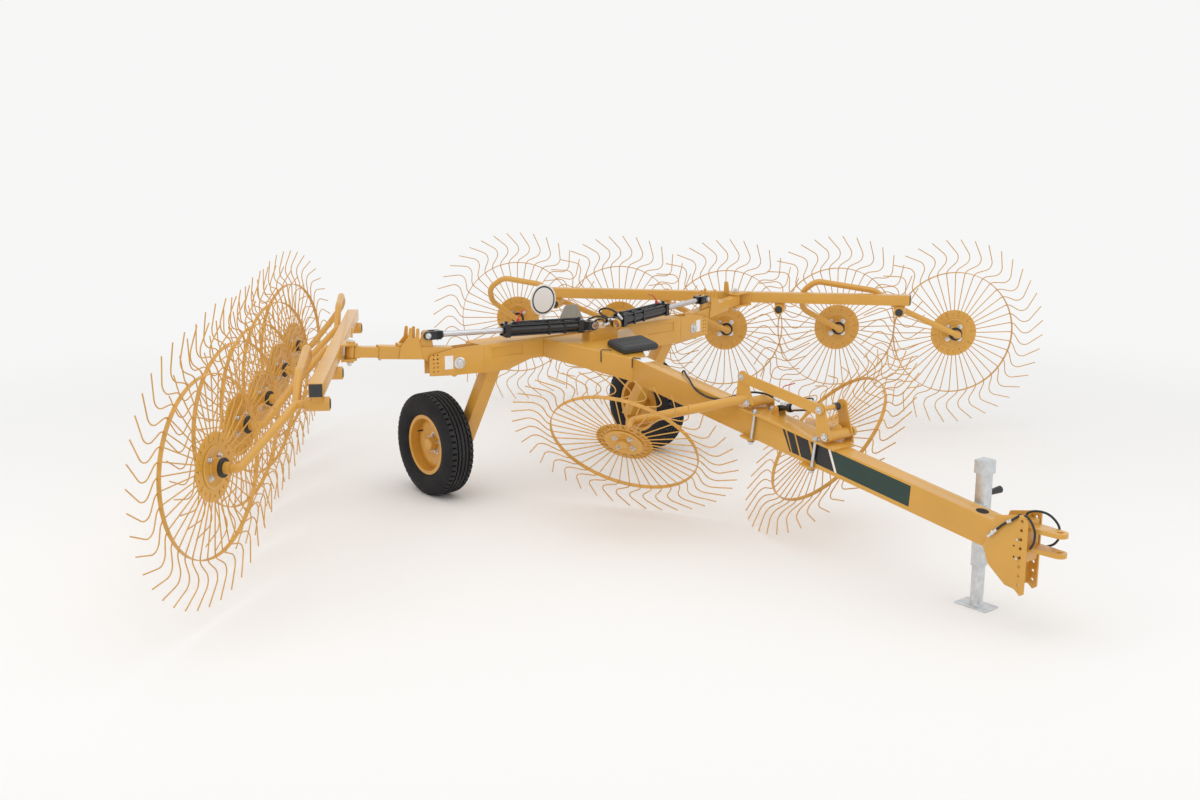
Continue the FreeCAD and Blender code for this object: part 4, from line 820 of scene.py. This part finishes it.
def make_sleeve(side, sign):
    """The arm's outer tube with the two combs on its faces and the lug that the rod's fork straddles."""
    along, ahead, up = arm_axes(sign)
    pin = place("lift_" + side)
    soften("arm_sleeve_" + side, PAINT, 0.003, trim=(pin + up * (SLEEVE_TOP + 0.001), up))
    fittings = Piece("arm_fittings_" + side)
    comb = [(0.238, 0.02), (0.392, 0.02), (0.387, 0.09), (0.342, 0.15)]
    comb += arc(0.3285, 0.205, 0.0095, 0, 180, 6) + arc(0.305, 0.16, 0.012, 0, -180, 6)
    comb += arc(0.282, 0.203, 0.0095, 0, 180, 6) + [(0.268, 0.13)]
    for face in (1, -1):
        middle = pin + ahead * (face * (SLEEVE_HALF + COMB_PLATE / 2))
        fittings.plate(comb, COMB_PLATE, middle, along, up)
    x, z = ROD_PIN
    lug = [(x - 0.045, SLEEVE_TOP - 0.002), (x + 0.05, SLEEVE_TOP - 0.002)] + arc(x, z, 0.029, 10, 170)
    fittings.plate(lug, FORK_LUG, pin + ahead * CYLINDER_SHIFT, along, up)
    collar = [(0.396, 0.0965), (0.396, 0.11), (0.36, 0.11), (0.35, 0.0965)]
    fittings.plate(collar, 0.07, pin, along, up)
    fittings.make("lift_arm_" + side, bevel=0.0015)
    bolts = Piece("arm_bolts_" + side, ZINC)
    under = pin + along * 0.5 + up * 0.017
    bolts.lathe([(0.009, 0), (0.009, 0.012), (0.006, 0.014)], under, -up, 12)
    bolts.make("lift_arm_" + side)


def fork(piece, origin, outward, across, up, slot, back, radius):
    """A clevis: two round-ended tines about a pin at the origin, joined behind their slot."""
    stadium = [(-back, radius), (-back, -radius)] + arc(0, 0, radius, -90, 90, 10)
    for face in (1, -1):
        middle = origin + across * (face * (FORK_GAP + FORK_TINE) / 2)
        piece.plate(stadium, FORK_TINE, middle, outward, up)
    piece.plate(rectangle(-back, -slot, -radius, radius), 2 * FORK_OUTSIDE, origin, outward, up)


def cylinder_base(side, sign):
    """The pin on the tower that a lift cylinder starts from."""
    shift = arm_axes(sign)[1] * CYLINDER_SHIFT
    return place("lift_cylinder_swing_" + side) + shift - axis("lift_stroke_" + side) * CYLINDER_BACK


def cylinder_axes(side, sign):
    """A lift cylinder's directions: along its stroke, forward along its pins, and up."""
    direction, ahead = axis("lift_stroke_" + side), arm_axes(sign)[1]
    up = direction.cross(ahead) * sign
    return direction, ahead, -up if up.z < 0 else up


def make_lift_barrel(side, sign):
    """The barrel's forged ends and bands, its tube, tie rods and nuts, and the pipe along it."""
    base, (direction, ahead, up) = cylinder_base(side, sign), cylinder_axes(side, sign)
    start, end = BARREL
    forged = Piece("lift_barrel_forged_" + side, BLACK_PAINT)
    fork(forged, base, -direction, ahead, up, 0.04, 0.086, 0.029)
    for low in (start, end - CAP_LENGTH):
        middle = base + direction * (low + CAP_LENGTH / 2)
        forged.plate(box_section(CAP_HALF), CAP_LENGTH, middle, ahead, up)
    for along in BARREL_BANDS:
        forged.plate(box_section(BAND_HALF), BAND_LENGTH, base + direction * along, ahead, up)
    forged.make("lift_cylinder_" + side, bevel=0.0025, stands_for="lift_barrel_" + side)

    tube = Piece("lift_barrel_tube_" + side, BLACK_PAINT)
    wall = [(BARREL_RADIUS, start + 0.02), (BARREL_RADIUS, end - 0.02)]
    gland = [(0.026, end - 0.005), (0.026, end + 0.006), (0.023, end + 0.009), (0.0178, end + 0.009)]
    tube.lathe(wall, base, direction, 40)
    tube.lathe(gland, base, direction, 28)
    for x in (-TIE_ROD_AT, TIE_ROD_AT):
        for z in (-TIE_ROD_AT, TIE_ROD_AT):
            corner = base + ahead * x + up * z
            tube.lathe([(0.0055, start - 0.012), (0.0055, end + 0.012)], corner, direction, 12)
            for nut, way in ((start, -1), (end, 1)):
                tube.bolt(corner + direction * nut, direction * way, 0.014, BLACK_PAINT, washer=False)
    pipe = [base + direction * along + up * high for along, high in (
        (0.112, 0.034), (0.112, 0.047), (0.145, 0.048), (0.36, 0.047), (0.5, 0.047), (0.56, 0.046),
        (0.575, 0.034),
    )]
    tube.tube(rounded(pipe, 0.014, 4), 0.0075, 12)
    for along in (start + 0.018, end - 0.018):
        port = base + direction * along
        tube.lathe([(0.012, 0.038), (0.012, 0.056), (0.009, 0.058)], port, up, 6)
    tube.make("lift_cylinder_" + side)


def make_port_cap(side, sign):
    """The red cap on the barrel's port, with its strap, which is shorter on the right."""
    direction, _, up = cylinder_axes(side, sign)
    port = cylinder_base(side, sign) + direction * (BARREL[1] - 0.1)
    trim = Piece("lift_port_cap_" + side, RED_PLASTIC)
    trim.lathe([(0.01, 0.05), (0.01, 0.068), (0.0075, 0.071), (0, 0.071)], port, up, 16)
    long = 1 if sign > 0 else 0.55
    strap = [port + up * high - direction * back * long
             for high, back in ((0.068, 0), (0.09, 0.02), (0.115, 0.05), (0.125, 0.1))]
    trim.tube(smooth_path(strap, 5), [0.0035] * 15 + [0.0022], 8)
    trim.make("lift_cylinder_" + side)


def make_lift_rod(side, sign):
    """The chromed rod, the fork on its end, and the fork's pin with its washers and split pins."""
    piston = "lift_piston_" + side
    base, (direction, ahead, up) = cylinder_base(side, sign), cylinder_axes(side, sign)
    out, _, arm_up = arm_axes(sign)
    eye = place("lift_" + side) + out * ROD_PIN[0] + arm_up * ROD_PIN[1] + ahead * CYLINDER_SHIFT
    rod = Piece("lift_rod_chromed_" + side, CHROME)
    ends = [(ROD_RADIUS, ROD_STARTS), (ROD_RADIUS, (eye - base).length - 0.075)]
    rod.lathe(ends, base, direction, 40)
    rod.make(piston, stands_for="lift_rod_" + side)
    end_fork = Piece("lift_rod_fork_" + side, BLACK_PAINT)
    fork(end_fork, eye, direction, ahead, up, 0.052, 0.088, 0.027)
    end_fork.make(piston, bevel=0.002)
    pins = Piece("lift_rod_pin_" + side, BLACK_PAINT)
    pins.lathe([(0.024, -0.104), (0.024, -0.084), (0.0176, -0.084)], eye, direction, 20)
    outer = FORK_OUTSIDE
    head = [
        (0.019, outer), (0.019, outer + 0.004), (PIN_RADIUS, outer + 0.004), (PIN_RADIUS, outer + 0.012),
        (0.012, outer + 0.014),
    ]
    for way in (1, -1):
        pins.lathe(head, eye, ahead * way, 24, ZINC)
        split = eye + ahead * way * (outer + 0.008)
        pins.tube([split + up * 0.022, split - up * 0.024], 0.002, 8, BRIGHT)
    pins.make(piston)


RING_MIDDLE = from_axle(0.691, 0.06, 1.122)


def make_lifting_ring():
    """The ring that stands on the tower."""
    ring = Piece("lifting_ring")
    rings = []
    for turn in turns(24):
        point = RING_MIDDLE + X * 0.03 * cos(turn) + Z * 0.03 * sin(turn)
        outward = (point - RING_MIDDLE).normalized()
        rings.append(circle(point, outward, Y, 0.008, 8))
    ring.skin(rings, ends_join=True)
    ring.make()


def make_tower():
    """The block behind the box that both cylinders start from, with its lugs and pins."""
    tower = Piece("cylinder_tower_block")
    centre = Vector((place("lift_cylinder_swing_left").x - 0.005, 0, 0))
    crown = [(-0.118, 1), (0.118, 1), (0.118, 1.083), (0.092, 1.086), (0.06, 1.106), (0.03, 1.1)]
    crown += [(0, 1.097), (-0.03, 1.1), (-0.06, 1.106), (-0.092, 1.086), (-0.118, 1.083)]
    tower.plate(crown, 0.086, centre, Y, Z)
    pins = Piece("cylinder_tower_pins", COPPER)
    outer = FORK_OUTSIDE
    pin = [
        (0, -outer - 0.012), (0.012, -outer - 0.012), (PIN_RADIUS, -outer - 0.009),
        (PIN_RADIUS, outer + 0.009), (0.012, outer + 0.012), (0, outer + 0.012),
    ]
    for side, sign in SIDES:
        out, ahead, _ = arm_axes(sign)
        base = cylinder_base(side, sign)
        low = 1.08 - base.z
        lug = [(-0.034, low), (0.03, low)] + arc(0, 0, 0.028, 10, 170)
        tower.plate(lug, FORK_LUG, base, Vector((out.x, out.y, 0)).normalized(), Z)
        pins.lathe(pin, base, ahead, 24, caps=False)
        for way in (1, -1):
            pins.lathe([(0.021, outer), (0.021, outer + 0.004)], base, ahead * way, 20, ZINC)
    tower.make(bevel=0.003, stands_for="cylinder_tower")
    pins.make()


PIN_FACE = 0.055
SHEET_ENDS = (0.042, 0.097)


def make_bracket_fittings(side, sign):
    """The arm's big pin with its washers and split pins, and the plain sheet beside it."""
    along, ahead, up = arm_axes(sign)
    pin = place("lift_" + side)
    face = PIN_FACE
    washer = [(0.037, face), (0.037, face + 0.006), (0.033, face + 0.008), (0.022, face + 0.008)]
    head = [(0.021, face + 0.006), (0.021, face + 0.02), (0.018, face + 0.023), (0, face + 0.023)]
    fittings = Piece("arm_pin_fittings_" + side, BRIGHT)
    for way in (1, -1):
        fittings.lathe(washer, pin, ahead * way, 40)
        fittings.lathe(head, pin, ahead * way, 32)
        split = pin + ahead * way * (face + 0.014)
        fittings.tube([split + up * 0.03, split - up * 0.032], 0.0025, 8)
    fittings.make()
    sheet = Piece("blank_sheet_" + side, WHITE_SHEET)
    flat_out = Vector((along.x, along.y, 0)).normalized()
    near, far = sorted(end * sign for end in SHEET_ENDS)
    corner = pin + ahead * (face + 0.0001)
    sheet.slab(rectangle(near, far, -0.035, 0.05), 0.0008, corner, flat_out * sign, Z, edge=0.0002)
    sheet.make()


# ---- hoses and straps ----

HOSE_RADIUS = 0.0065
THIN_HOSE_RADIUS = 0.006


def hose(piece, points, radius=HOSE_RADIUS, ends=True):
    """A hydraulic hose with its crimped ends."""
    path = smooth_path(points, 8)
    piece.tube(path, radius, 12, HOSE)
    if ends:
        crimp = [(radius * 1.1, -0.006), (radius * 1.35, 0), (radius * 1.35, 0.028), (radius * 1.05, 0.032)]
        for end, inner in ((path[0], path[2]), (path[-1], path[-3])):
            way = (inner - end).normalized()
            piece.lathe(crimp, end, way, 14, ZINC)
            piece.bolt(end - way * 0.004, -way, radius * 2.4, ZINC, washer=False)


def make_hoses():
    """The hoses to the three cylinders, and the ties that hold them."""
    lines = Piece("hydraulic_hoses")
    hose(lines, route(
        (0.38, -0.02, 1.072), (0.414, 0, 1.1), (0.49, 0.005, 1.145), (0.575, 0.01, 1.165),
        (0.632, 0.025, 1.152), (0.66, 0.05, 1.15),
    ))
    hose(lines, route(
        (0.7, 0.085, 1.165), (0.665, 0.075, 1.196), (0.6, 0.065, 1.214), (0.535, 0.062, 1.206),
        (0.508, 0.06, 1.186), (0.535, 0.058, 1.168), (0.598, 0.05, 1.16), (0.66, 0.03, 1.15),
        (0.7, -0.01, 1.142), (0.715, -0.05, 1.136),
    ))
    hose(lines, route(
        (0.4, 0.04, 1.07), (0.44, 0.045, 1.1), (0.52, 0.05, 1.135), (0.6, 0.02, 1.14),
        (0.66, -0.03, 1.135), (0.69, -0.07, 1.14),
    ))
    hose(lines, route(
        (1.2, 0.068, 0.8), (1.29, 0.068, 0.866), (1.345, 0.052, 0.915), (1.42, 0.005, 0.905),
        (1.5, -0.04, 0.892), (1.56, -0.0635, 0.862), (1.62, -0.066, 0.836), (1.7, -0.066, 0.822),
        (1.79, -0.066, 0.828), (1.85, -0.058, 0.846), (1.9, -0.03, 0.868), (1.96, 0.01, 0.888),
        (2.033, 0.035, 0.893), (2.09, 0.045, 0.886), (2.15, 0.048, 0.868),
    ), THIN_HOSE_RADIUS)
    lines.make()
    ties = Piece("cable_ties", PLASTIC)
    for strap in (
        route((0.804, -0.17, 0.915), (0.804, -0.1715, 0.99), (0.808, -0.16, 0.996), (0.84, -0.11, 0.992)),
        route((0.984, -0.0605, 0.893), (0.984, -0.0605, 0.951), (0.988, -0.054, 0.9585),
              (1.02, -0.02, 0.951)),
    ):
        ties.tube(strap, 0.0032, 8)
    ties.make()


def make_tractor_hoses():
    """The two hoses behind the hitch plate, round the clevis and down beside it, and one with a coupler."""
    loops = Piece("tractor_hoses")
    hose(loops, route(
        (3.8, 0.01, 0.55), (3.843, 0.01, 0.588), (3.865, 0.015, 0.614), (3.901, 0.03, 0.624),
        (3.939, 0.05, 0.617), (3.972, 0.066, 0.592), (3.996, 0.074, 0.555), (3.998, 0.075, 0.505),
        (3.976, 0.072, 0.467), (3.94, 0.064, 0.446), (3.915, 0.045, 0.436),
    ), THIN_HOSE_RADIUS, ends=False)
    hose(loops, route(
        (3.815, -0.02, 0.56), (3.855, -0.03, 0.592), (3.885, -0.048, 0.612), (3.912, -0.062, 0.608),
        (3.94, -0.068, 0.582), (3.955, -0.068, 0.542), (3.95, -0.066, 0.495), (3.93, -0.06, 0.458),
    ), THIN_HOSE_RADIUS, ends=False)
    tail = route(
        (3.835, -0.03, 0.598), (3.858, -0.052, 0.612), (3.852, -0.072, 0.602), (3.828, -0.0765, 0.582),
        (3.803, -0.0765, 0.566), (3.775, -0.0765, 0.543), (3.748, -0.0765, 0.516),
    )
    hose(loops, tail, THIN_HOSE_RADIUS, ends=False)
    coupler = [
        (0.0065, -0.002), (0.0095, 0), (0.0095, 0.024), (0.0125, 0.026), (0.0125, 0.038), (0.009, 0.041),
        (0.009, 0.068), (0.007, 0.07), (0, 0.07),
    ]
    loops.lathe(coupler, tail[-1], (tail[-1] - tail[-2]).normalized(), 20, BRIGHT)
    crimp = [(0.0065, 0), (0.009, 0.002), (0.009, 0.026), (0.0065, 0.028)]
    loops.lathe(crimp, tail[3], (tail[4] - tail[3]).normalized(), 20, BRIGHT)
    loops.make()


# ---- the tongue: bands, painted shade of its window, box and sheet ----

TONGUE_TOP = 0.951
TONGUE_REAR = 0.987
TONGUE_FALL = 0.149
TONGUE_SIDE = 0.056
DOWN_TONGUE, ABOVE_TONGUE = downhill(TONGUE_FALL)
BAND_EDGES = (0.012, 0.127)
BANDS = (
    (2.289, 2.308, 2.35, 2.362, BLACK_FILM), (2.324, 2.378, 2.37, 2.425, BLACK_FILM),
    (2.392, 2.483, 2.438, 2.528, BLACK_FILM), (2.503, 2.63, 2.548, 2.682, BLACK_FILM),
    (2.633, 2.65, 2.685, 2.7, WHITE_SHEET), (2.653, 3.203, 2.703, 3.195, GREEN_FILM),
)
WINDOW_AT = 3.608
GUSSET_REAR = (0.46, 1.049)
BOX_AT = (0.828, 0.076)
BOX_STEPS = (
    (0.08, 0.133, 0), (0.0925, 0.145, 0.011), (0.0925, 0.145, 0.024), (0.0905, 0.143, 0.025),
    (0.0925, 0.145, 0.026), (0.0925, 0.145, 0.032), (0.083, 0.135, 0.047),
)


def tongue_top(x):
    """The height of the tongue's top at a place along it."""
    return TONGUE_TOP - TONGUE_FALL * (x - TONGUE_REAR)


def make_stripes():
    """The slanted bands and the blank panel on both sides of the tongue."""
    high, low = BAND_EDGES
    for hand, name in ((-1, "right"), (1, "left")):
        film = Piece("tongue_bands_" + name)
        for top_rear, top_front, low_rear, low_front, finish in BANDS:
            corners = [
                from_axle(x, hand * TONGUE_SIDE, tongue_top(x) - below)
                for x, below in ((top_rear, high), (top_front, high), (low_front, low), (low_rear, low))
            ]
            film.skin([[c + Y * hand * lift for c in corners] for lift in (0.0001, 0.0011)], finish)
        film.make()


def make_window_shade():
    """A dark disc of painted shade that stands for the tongue's hole for the hoses, near the hitch."""
    window = Piece("tongue_window_shade", SHADE)
    hole = from_axle(WINDOW_AT, 0, tongue_top(WINDOW_AT))
    window.lathe([(0.033, 0), (0.033, 0.0005), (0.016, 0.0004)], hole, ABOVE_TONGUE, 40)
    window.make()


def make_box():
    """The low bevelled box for papers on the gusset's slope."""
    rear, height = GUSSET_REAR
    fall = (height - TONGUE_TOP) / (TONGUE_REAR - rear)
    along, above = downhill(fall)
    x, y = BOX_AT
    seat = from_axle(x, y, height - fall * (x - rear) + 0.0015)
    box = Piece("paper_box", PLASTIC)
    rings = []
    for half_x, half_y, high in BOX_STEPS:
        corners = [Vector((half_x * i, half_y * j, 0))
                   for i, j in ((0, -1), (1, -1), (1, 1), (-1, 1), (-1, -1), (0, -1))]
        outline = rounded(corners, 0.01, 3)[:-1]
        rings.append([seat + along * c.x + Y * c.y + above * high for c in outline])
    box.skin(rings)
    for x in (-0.03, 0.03):
        rib = rectangle(x - 0.002, x + 0.002, -0.11, 0.11)
        box.slab(rib, 0.0012, seat + above * 0.0468, along, Y, edge=0.0005)
    box.make(bevel=0.0015, stands_for="manual_box")


def make_tongue_sheet():
    """The blank sheet on top of the tongue, in front of the box."""
    sheet = Piece("tongue_blank_sheet", WHITE_SHEET)
    corner = from_axle(0.995, 0, TONGUE_TOP - TONGUE_FALL * 0.008 + 0.0002)
    sheet.slab(rectangle(0, 0.085, -0.045, 0.05), 0.0006, corner, DOWN_TONGUE, Y, edge=0.0002)
    sheet.make()


# ---- kickers ----

KICKER_PIVOTS = ((2.033, 0.851), (2.631, 0.763))
LEVER_TOP = (-0.041, 0.148)
LEVER_PLATE = 0.0108
STRAP_Y = -0.091
STRAP_PLATE = 0.0102
STRAP_END = 0.031
CLAMPS_AT = (2.081, 2.552)
CLAMP_BOLT_Y = 0.07
FRONT_CLAMP_BACK = 0.128
FRONT_CLAMP_FROM = 0.57
FRONT_CLAMP_BOLT = 0.6526
CLAMP_BOLT_REACH = 0.011
UNDER_TONGUE = -0.149


def make_kicker_strap():
    """The strap that links the levers, with its bolts."""
    strap = Piece("kicker_strap")
    bolts = Piece("kicker_bolts")
    rear, front = [from_axle(x + LEVER_TOP[0], STRAP_Y, z + LEVER_TOP[1]) for x, z in KICKER_PIVOTS]
    along = (front - rear).normalized()
    rise = Y.cross(along) * -1
    outline = arc((front - rear).length, 0, STRAP_END, -90, 90, 10) + arc(0, 0, STRAP_END, 90, 270, 10)
    strap.plate(outline, STRAP_PLATE, rear, along, rise)
    strap.make("kicker_bar", bevel=0.0015, stands_for="kicker_link")
    for top in (rear, front):
        bolts.bolt(top - Y * STRAP_PLATE / 2, -Y, 0.022)
        bolts.bolt(top + Y * 0.0166, Y, 0.022)
    bolts.make("kicker_bar")


def make_kicker_levers():
    """The kickers' broad levers, and the bolts and the open tube at their pivots, with painted shade inside
    the tube's mouth.
    """
    crest = arc(*LEVER_TOP, 0.036, -12, 192, 12)
    for (x, z), body, rear in zip(KICKER_PIVOTS, ("kicker_rear", "kicker_front"), (-0.095, -0.06)):
        lever = Piece(body + "_lever")
        near = from_axle(x, -0.0801, z)
        lever.plate([(rear, -0.006), (0.044, -0.006)] + crest, LEVER_PLATE, near, X, Z)
        if body == "kicker_front":
            far = from_axle(x, 0.1, z)
            lever.plate([(-0.05, 0), (0.04, 0)] + crest, LEVER_PLATE, far, X, Z)
        lever.make(body, bevel=0.0015)
    ends = Piece("kicker_tube_ends_and_mouth_shade")
    for x, z in KICKER_PIVOTS:
        ends.bolt(from_axle(x, -0.0865, z), -Y, 0.024)
    front_x, front_z = KICKER_PIVOTS[1]
    mouth = from_axle(front_x, 0.126, front_z)
    ends.lathe([(0.03, 0), (0.03, 0.024), (0.026, 0.024), (0.026, 0.002)], mouth, Y, 32, caps=False)
    # A dark disc just inside the open mouth: painted shade.
    ends.lathe([(0.026, 0.001), (0.026, 0.003)], mouth, Y, 32, SHADE)
    ends.make()
    eye = Piece("kicker_rod_eye_ring", BLACK_PAINT)
    ring = [(0.0192, 0), (0.0225, 0.002), (0.0225, 0.012), (0.0192, 0.014)]
    for y in (0.0345, 0.0515):
        pin = from_axle(front_x + LEVER_TOP[0], y, front_z + LEVER_TOP[1])
        eye.lathe(ring, pin, Y, 32, caps=False)
    eye.make("kicker_piston")
    flag = Piece("kicker_port_strap", RED_PLASTIC)
    start, end = route((2.149, 0.1, 0.944), (2.232, 0.1, 0.976))
    strap = route((2.15, 0.056, 0.88), (2.142, 0.085, 0.915)) + [start, (start + end) / 2, end]
    flag.tube(smooth_path(strap, 5), 0.003, 8)
    flag.make("kicker_cylinder")


def clamp_shift(point):
    """How far back the mount's front clamp stands from its packed place."""
    mount_x = KICKER_PIVOTS[0][0]
    offset = point - from_axle(mount_x, 0, tongue_top(mount_x))
    x, z = offset.dot(DOWN_TONGUE), offset.dot(ABOVE_TONGUE)
    on_bolt = hypot(x - FRONT_CLAMP_BOLT, abs(offset.y) - CLAMP_BOLT_Y) < CLAMP_BOLT_REACH
    on_plate = z < UNDER_TONGUE and x > FRONT_CLAMP_FROM
    return DOWN_TONGUE * (-FRONT_CLAMP_BACK if on_bolt or on_plate else 0)


def make_clamp_bolts():
    """The kicker mount, and the long plated bolts that hold it to the tongue."""
    soften("kicker_mount", PAINT, 0.002, shift=clamp_shift)
    rods = Piece("clamp_bolts", ZINC)
    down = -ABOVE_TONGUE
    for x in CLAMPS_AT:
        for hand in (1, -1):
            top = from_axle(x, hand * CLAMP_BOLT_Y, tongue_top(x)) - down * 0.013
            rods.lathe([(0.0092, 0), (0.0092, 0.195)], top, down, 16)
            rods.bolt(top, -down, 0.022, ZINC)
            rods.bolt(top + down * 0.178, down, 0.022, ZINC)
    rods.make()


def make_kicker_cylinder():
    """Fittings and the blank sheet on the kicker's cylinder."""
    base, direction = place("kicker_cylinder_swing"), axis("kicker_stroke")
    up = (Z - direction * direction.z).normalized()
    parts = Piece("kicker_cylinder_fittings", BLACK_PAINT)
    for along in (0.085, 0.268):
        ring = [(0.0255, -0.014), (0.0265, -0.012), (0.0265, 0.012), (0.0255, 0.014)]
        parts.lathe([(radius, along + at) for radius, at in ring], base, direction, 28)
        port = [(0.01, 0.02), (0.01, 0.036), (0.008, 0.038)]
        parts.lathe(port, base + direction * along, up, 6, ZINC)
    pipe = [base + direction * along + up * high + Y * aside for along, high, aside in (
        (0.268, 0.036, 0), (0.268, 0.05, 0), (0.14, 0.05, 0.01), (0.09, 0.045, 0),
    )]
    parts.tube(rounded(pipe, 0.02, 4), 0.005, 10)
    for along in (0.02, 0.05):
        parts.bolt(base + direction * along + up * 0.018 + Y * 0.005, up, 0.017, ZINC)
    parts.make("kicker_cylinder")
    sheet = Piece("kicker_blank_sheet")
    side = direction.cross(up)
    wrap = [radians(-20 + 140 * i / 8) for i in range(9)]
    section = [(0.0223, turn) for turn in wrap] + [(0.0227, turn) for turn in reversed(wrap)]
    sheet.skin([
        [base + direction * along + swing(side, up, turn) * radius for radius, turn in section]
        for along in (0.115, 0.235)
    ], WHITE_SHEET)
    sheet.make("kicker_cylinder")


# ---- rake beams ----

BEAM_TURN = radians(33.31)
BEAM_RISE = radians(1.26)
BEAM_FRONT_PIVOT = (1.205, 2.335, 1.1144)
BEAM_ENDS = ((0.071, 1), (-2.76, -1))
BEAM_INSIDE_HALF = 0.034
PIVOT_PITCH = 0.89
PIVOT_DROP = 0.084


def beam_axes(sign):
    """A rake beam's directions, forward along it and outward, and its place at the front pivot."""
    flat = Vector((cos(BEAM_TURN), sign * sin(BEAM_TURN), 0))
    outward = Vector((-sin(BEAM_TURN), sign * cos(BEAM_TURN), 0))
    along = flat * cos(BEAM_RISE) + Z * sin(BEAM_RISE)
    x, y, z = BEAM_FRONT_PIVOT
    return from_axle(x, sign * y, z) + outward * 0.063, along, outward


def make_beam_ends(side, sign):
    """Plastic plugs in the beam's ends, caps in the pivots and the yoke's bolt."""
    start, along, outward = beam_axes(sign)
    rise = (Z - along * along.z).normalized()
    plugs = Piece("beam_plugs_" + side, PLASTIC)
    for at, way in BEAM_ENDS:
        corner, across = start + along * at, outward * (way * sign)
        plugs.slab(box_section(BEAM_INSIDE_HALF), 0.005, corner, across, rise, edge=0.002)
    for number in range(4):
        pivot = start - along * (PIVOT_PITCH * number) - rise * PIVOT_DROP
        plugs.lathe([(0.028, 0.0625), (0.028, 0.0655), (0.025, 0.067)], pivot, -outward, 28)
    plugs.make("rake_" + side)
    arm_along, _, up = arm_axes(sign)
    yoke = Piece("yoke_bolt_" + side)
    at = place("lift_" + side) + arm_along * 0.688 + up * 0.056
    for way in (1, -1):
        yoke.bolt(at + up * (way * 0.0643), up * way, 0.027)
    yoke.make("rake_" + side)


# ---- hitch, jack, sign and marker ----

HITCH_FACE = 0.066
SIGN_AT = (-0.162, 1.247)
MARKER_STAY_Y = 0.085


def make_hitch_fittings():
    """The hitch's small bolts, dark discs of painted shade for its holes, and its folded edge."""
    bolts = Piece("hitch_bolts_and_hole_shade")
    for x, z in ((3.864, 0.491), (3.867, 0.394)):
        for hand in (1, -1):
            bolts.bolt(from_axle(x, hand * HITCH_FACE, z), Y * hand, 0.013, washer=False)
    # The holes are thin dark discs: painted shade.
    for x, z in ((3.843, 0.454), (3.846, 0.398)):
        for hand in (1, -1):
            hole = from_axle(x, hand * (HITCH_FACE + 0.0001), z)
            bolts.lathe([(0.005, 0), (0.005, 0.0003)], hole, Y * hand, 12, SHADE)
    bolts.make()
    fold = Piece("hitch_fold")
    outline = [(3.889, 0.206), (3.918, 0.222), (3.918, 0.585), (3.91, 0.6), (3.889, 0.606)]
    fold.plate(outline, 0.004, from_axle(0, -0.0685, 0), X, Z)
    fold.make(bevel=0.001)


def make_jack_grip():
    """The grip of the jack's crank."""
    grip = Piece("jack_grip", HOSE)
    ribs = [(0.0135 + 0.005 * i / 9 + (0.0012 if i % 2 else 0), 0.006 + 0.0095 * i) for i in range(10)]
    shape = [(0.01, 0), (0.0125, 0.003)] + ribs + [(0.015, 0.097), (0, 0.098)]
    grip.lathe(shape, from_axle(3.522, 0.178, 0.603), Y, 28)
    grip.make()


def make_sign():
    """The round sign with a thin black ring on both faces."""
    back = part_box("speed_sign")[0].x
    y, z = SIGN_AT
    disc = Piece("sign_disc", WHITE_SHEET)
    edge = [(0.1045, -0.0003), (0.106, 0.001), (0.106, 0.005), (0.1045, 0.0063)]
    disc.lathe(edge, Vector((back, y, z)), X, 72)
    ring = [(0.084, 0.0001), (0.094, 0.0001), (0.094, 0.0007), (0.084, 0.0007)]
    for way, x in ((-1, back - 0.0003), (1, back + 0.0063)):
        disc.lathe(ring, Vector((x, y, z)), X * way, 72, BLACK_FILM, caps=False)
    disc.make()


def make_marker():
    """The rear marker's tapered sheet on its stay."""
    low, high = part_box("rear_marker")
    marker = Piece("marker_sheet", BARE_SHEET)
    outline = [
        (-0.093, 1), (0.219, 1), (0.1225, 1.178), (0.112, 1.19), (0.1, 1.192), (0.026, 1.192),
        (0.014, 1.19), (0.0035, 1.178),
    ]
    marker.plate(outline, 0.004, Vector((low.x + 0.002, 0, 0)), Y, Z)
    marker.plate(rectangle(low.x, high.x, 1.002, 1.038), 0.03, Y * MARKER_STAY_Y, X, Z, PAINT)
    for y in (0.053, 0.073):
        marker.bolt(Vector((low.x + 0.004, y, 1.06)), X, 0.01, ZINC)
    marker.make(bevel=0.0008, stands_for="rear_marker")


make_camera()
make_surround()
make_floor()
for lamp in LAMPS:
    make_lamp(*lamp)
finish_nodes()
soften_nodes()
make_tined_wheels()
make_ground_wheels()
for side, sign in SIDES:
    make_sleeve(side, sign)
    make_lift_barrel(side, sign)
    make_port_cap(side, sign)
    make_lift_rod(side, sign)
    make_bracket_fittings(side, sign)
    make_beam_ends(side, sign)
make_tower()
make_lifting_ring()
make_hoses()
make_stripes()
make_kicker_strap()
make_kicker_levers()
make_clamp_bolts()
make_kicker_cylinder()
make_hitch_fittings()
make_window_shade()
make_jack_grip()
make_tractor_hoses()
make_box()
make_tongue_sheet()
make_sign()
make_marker()
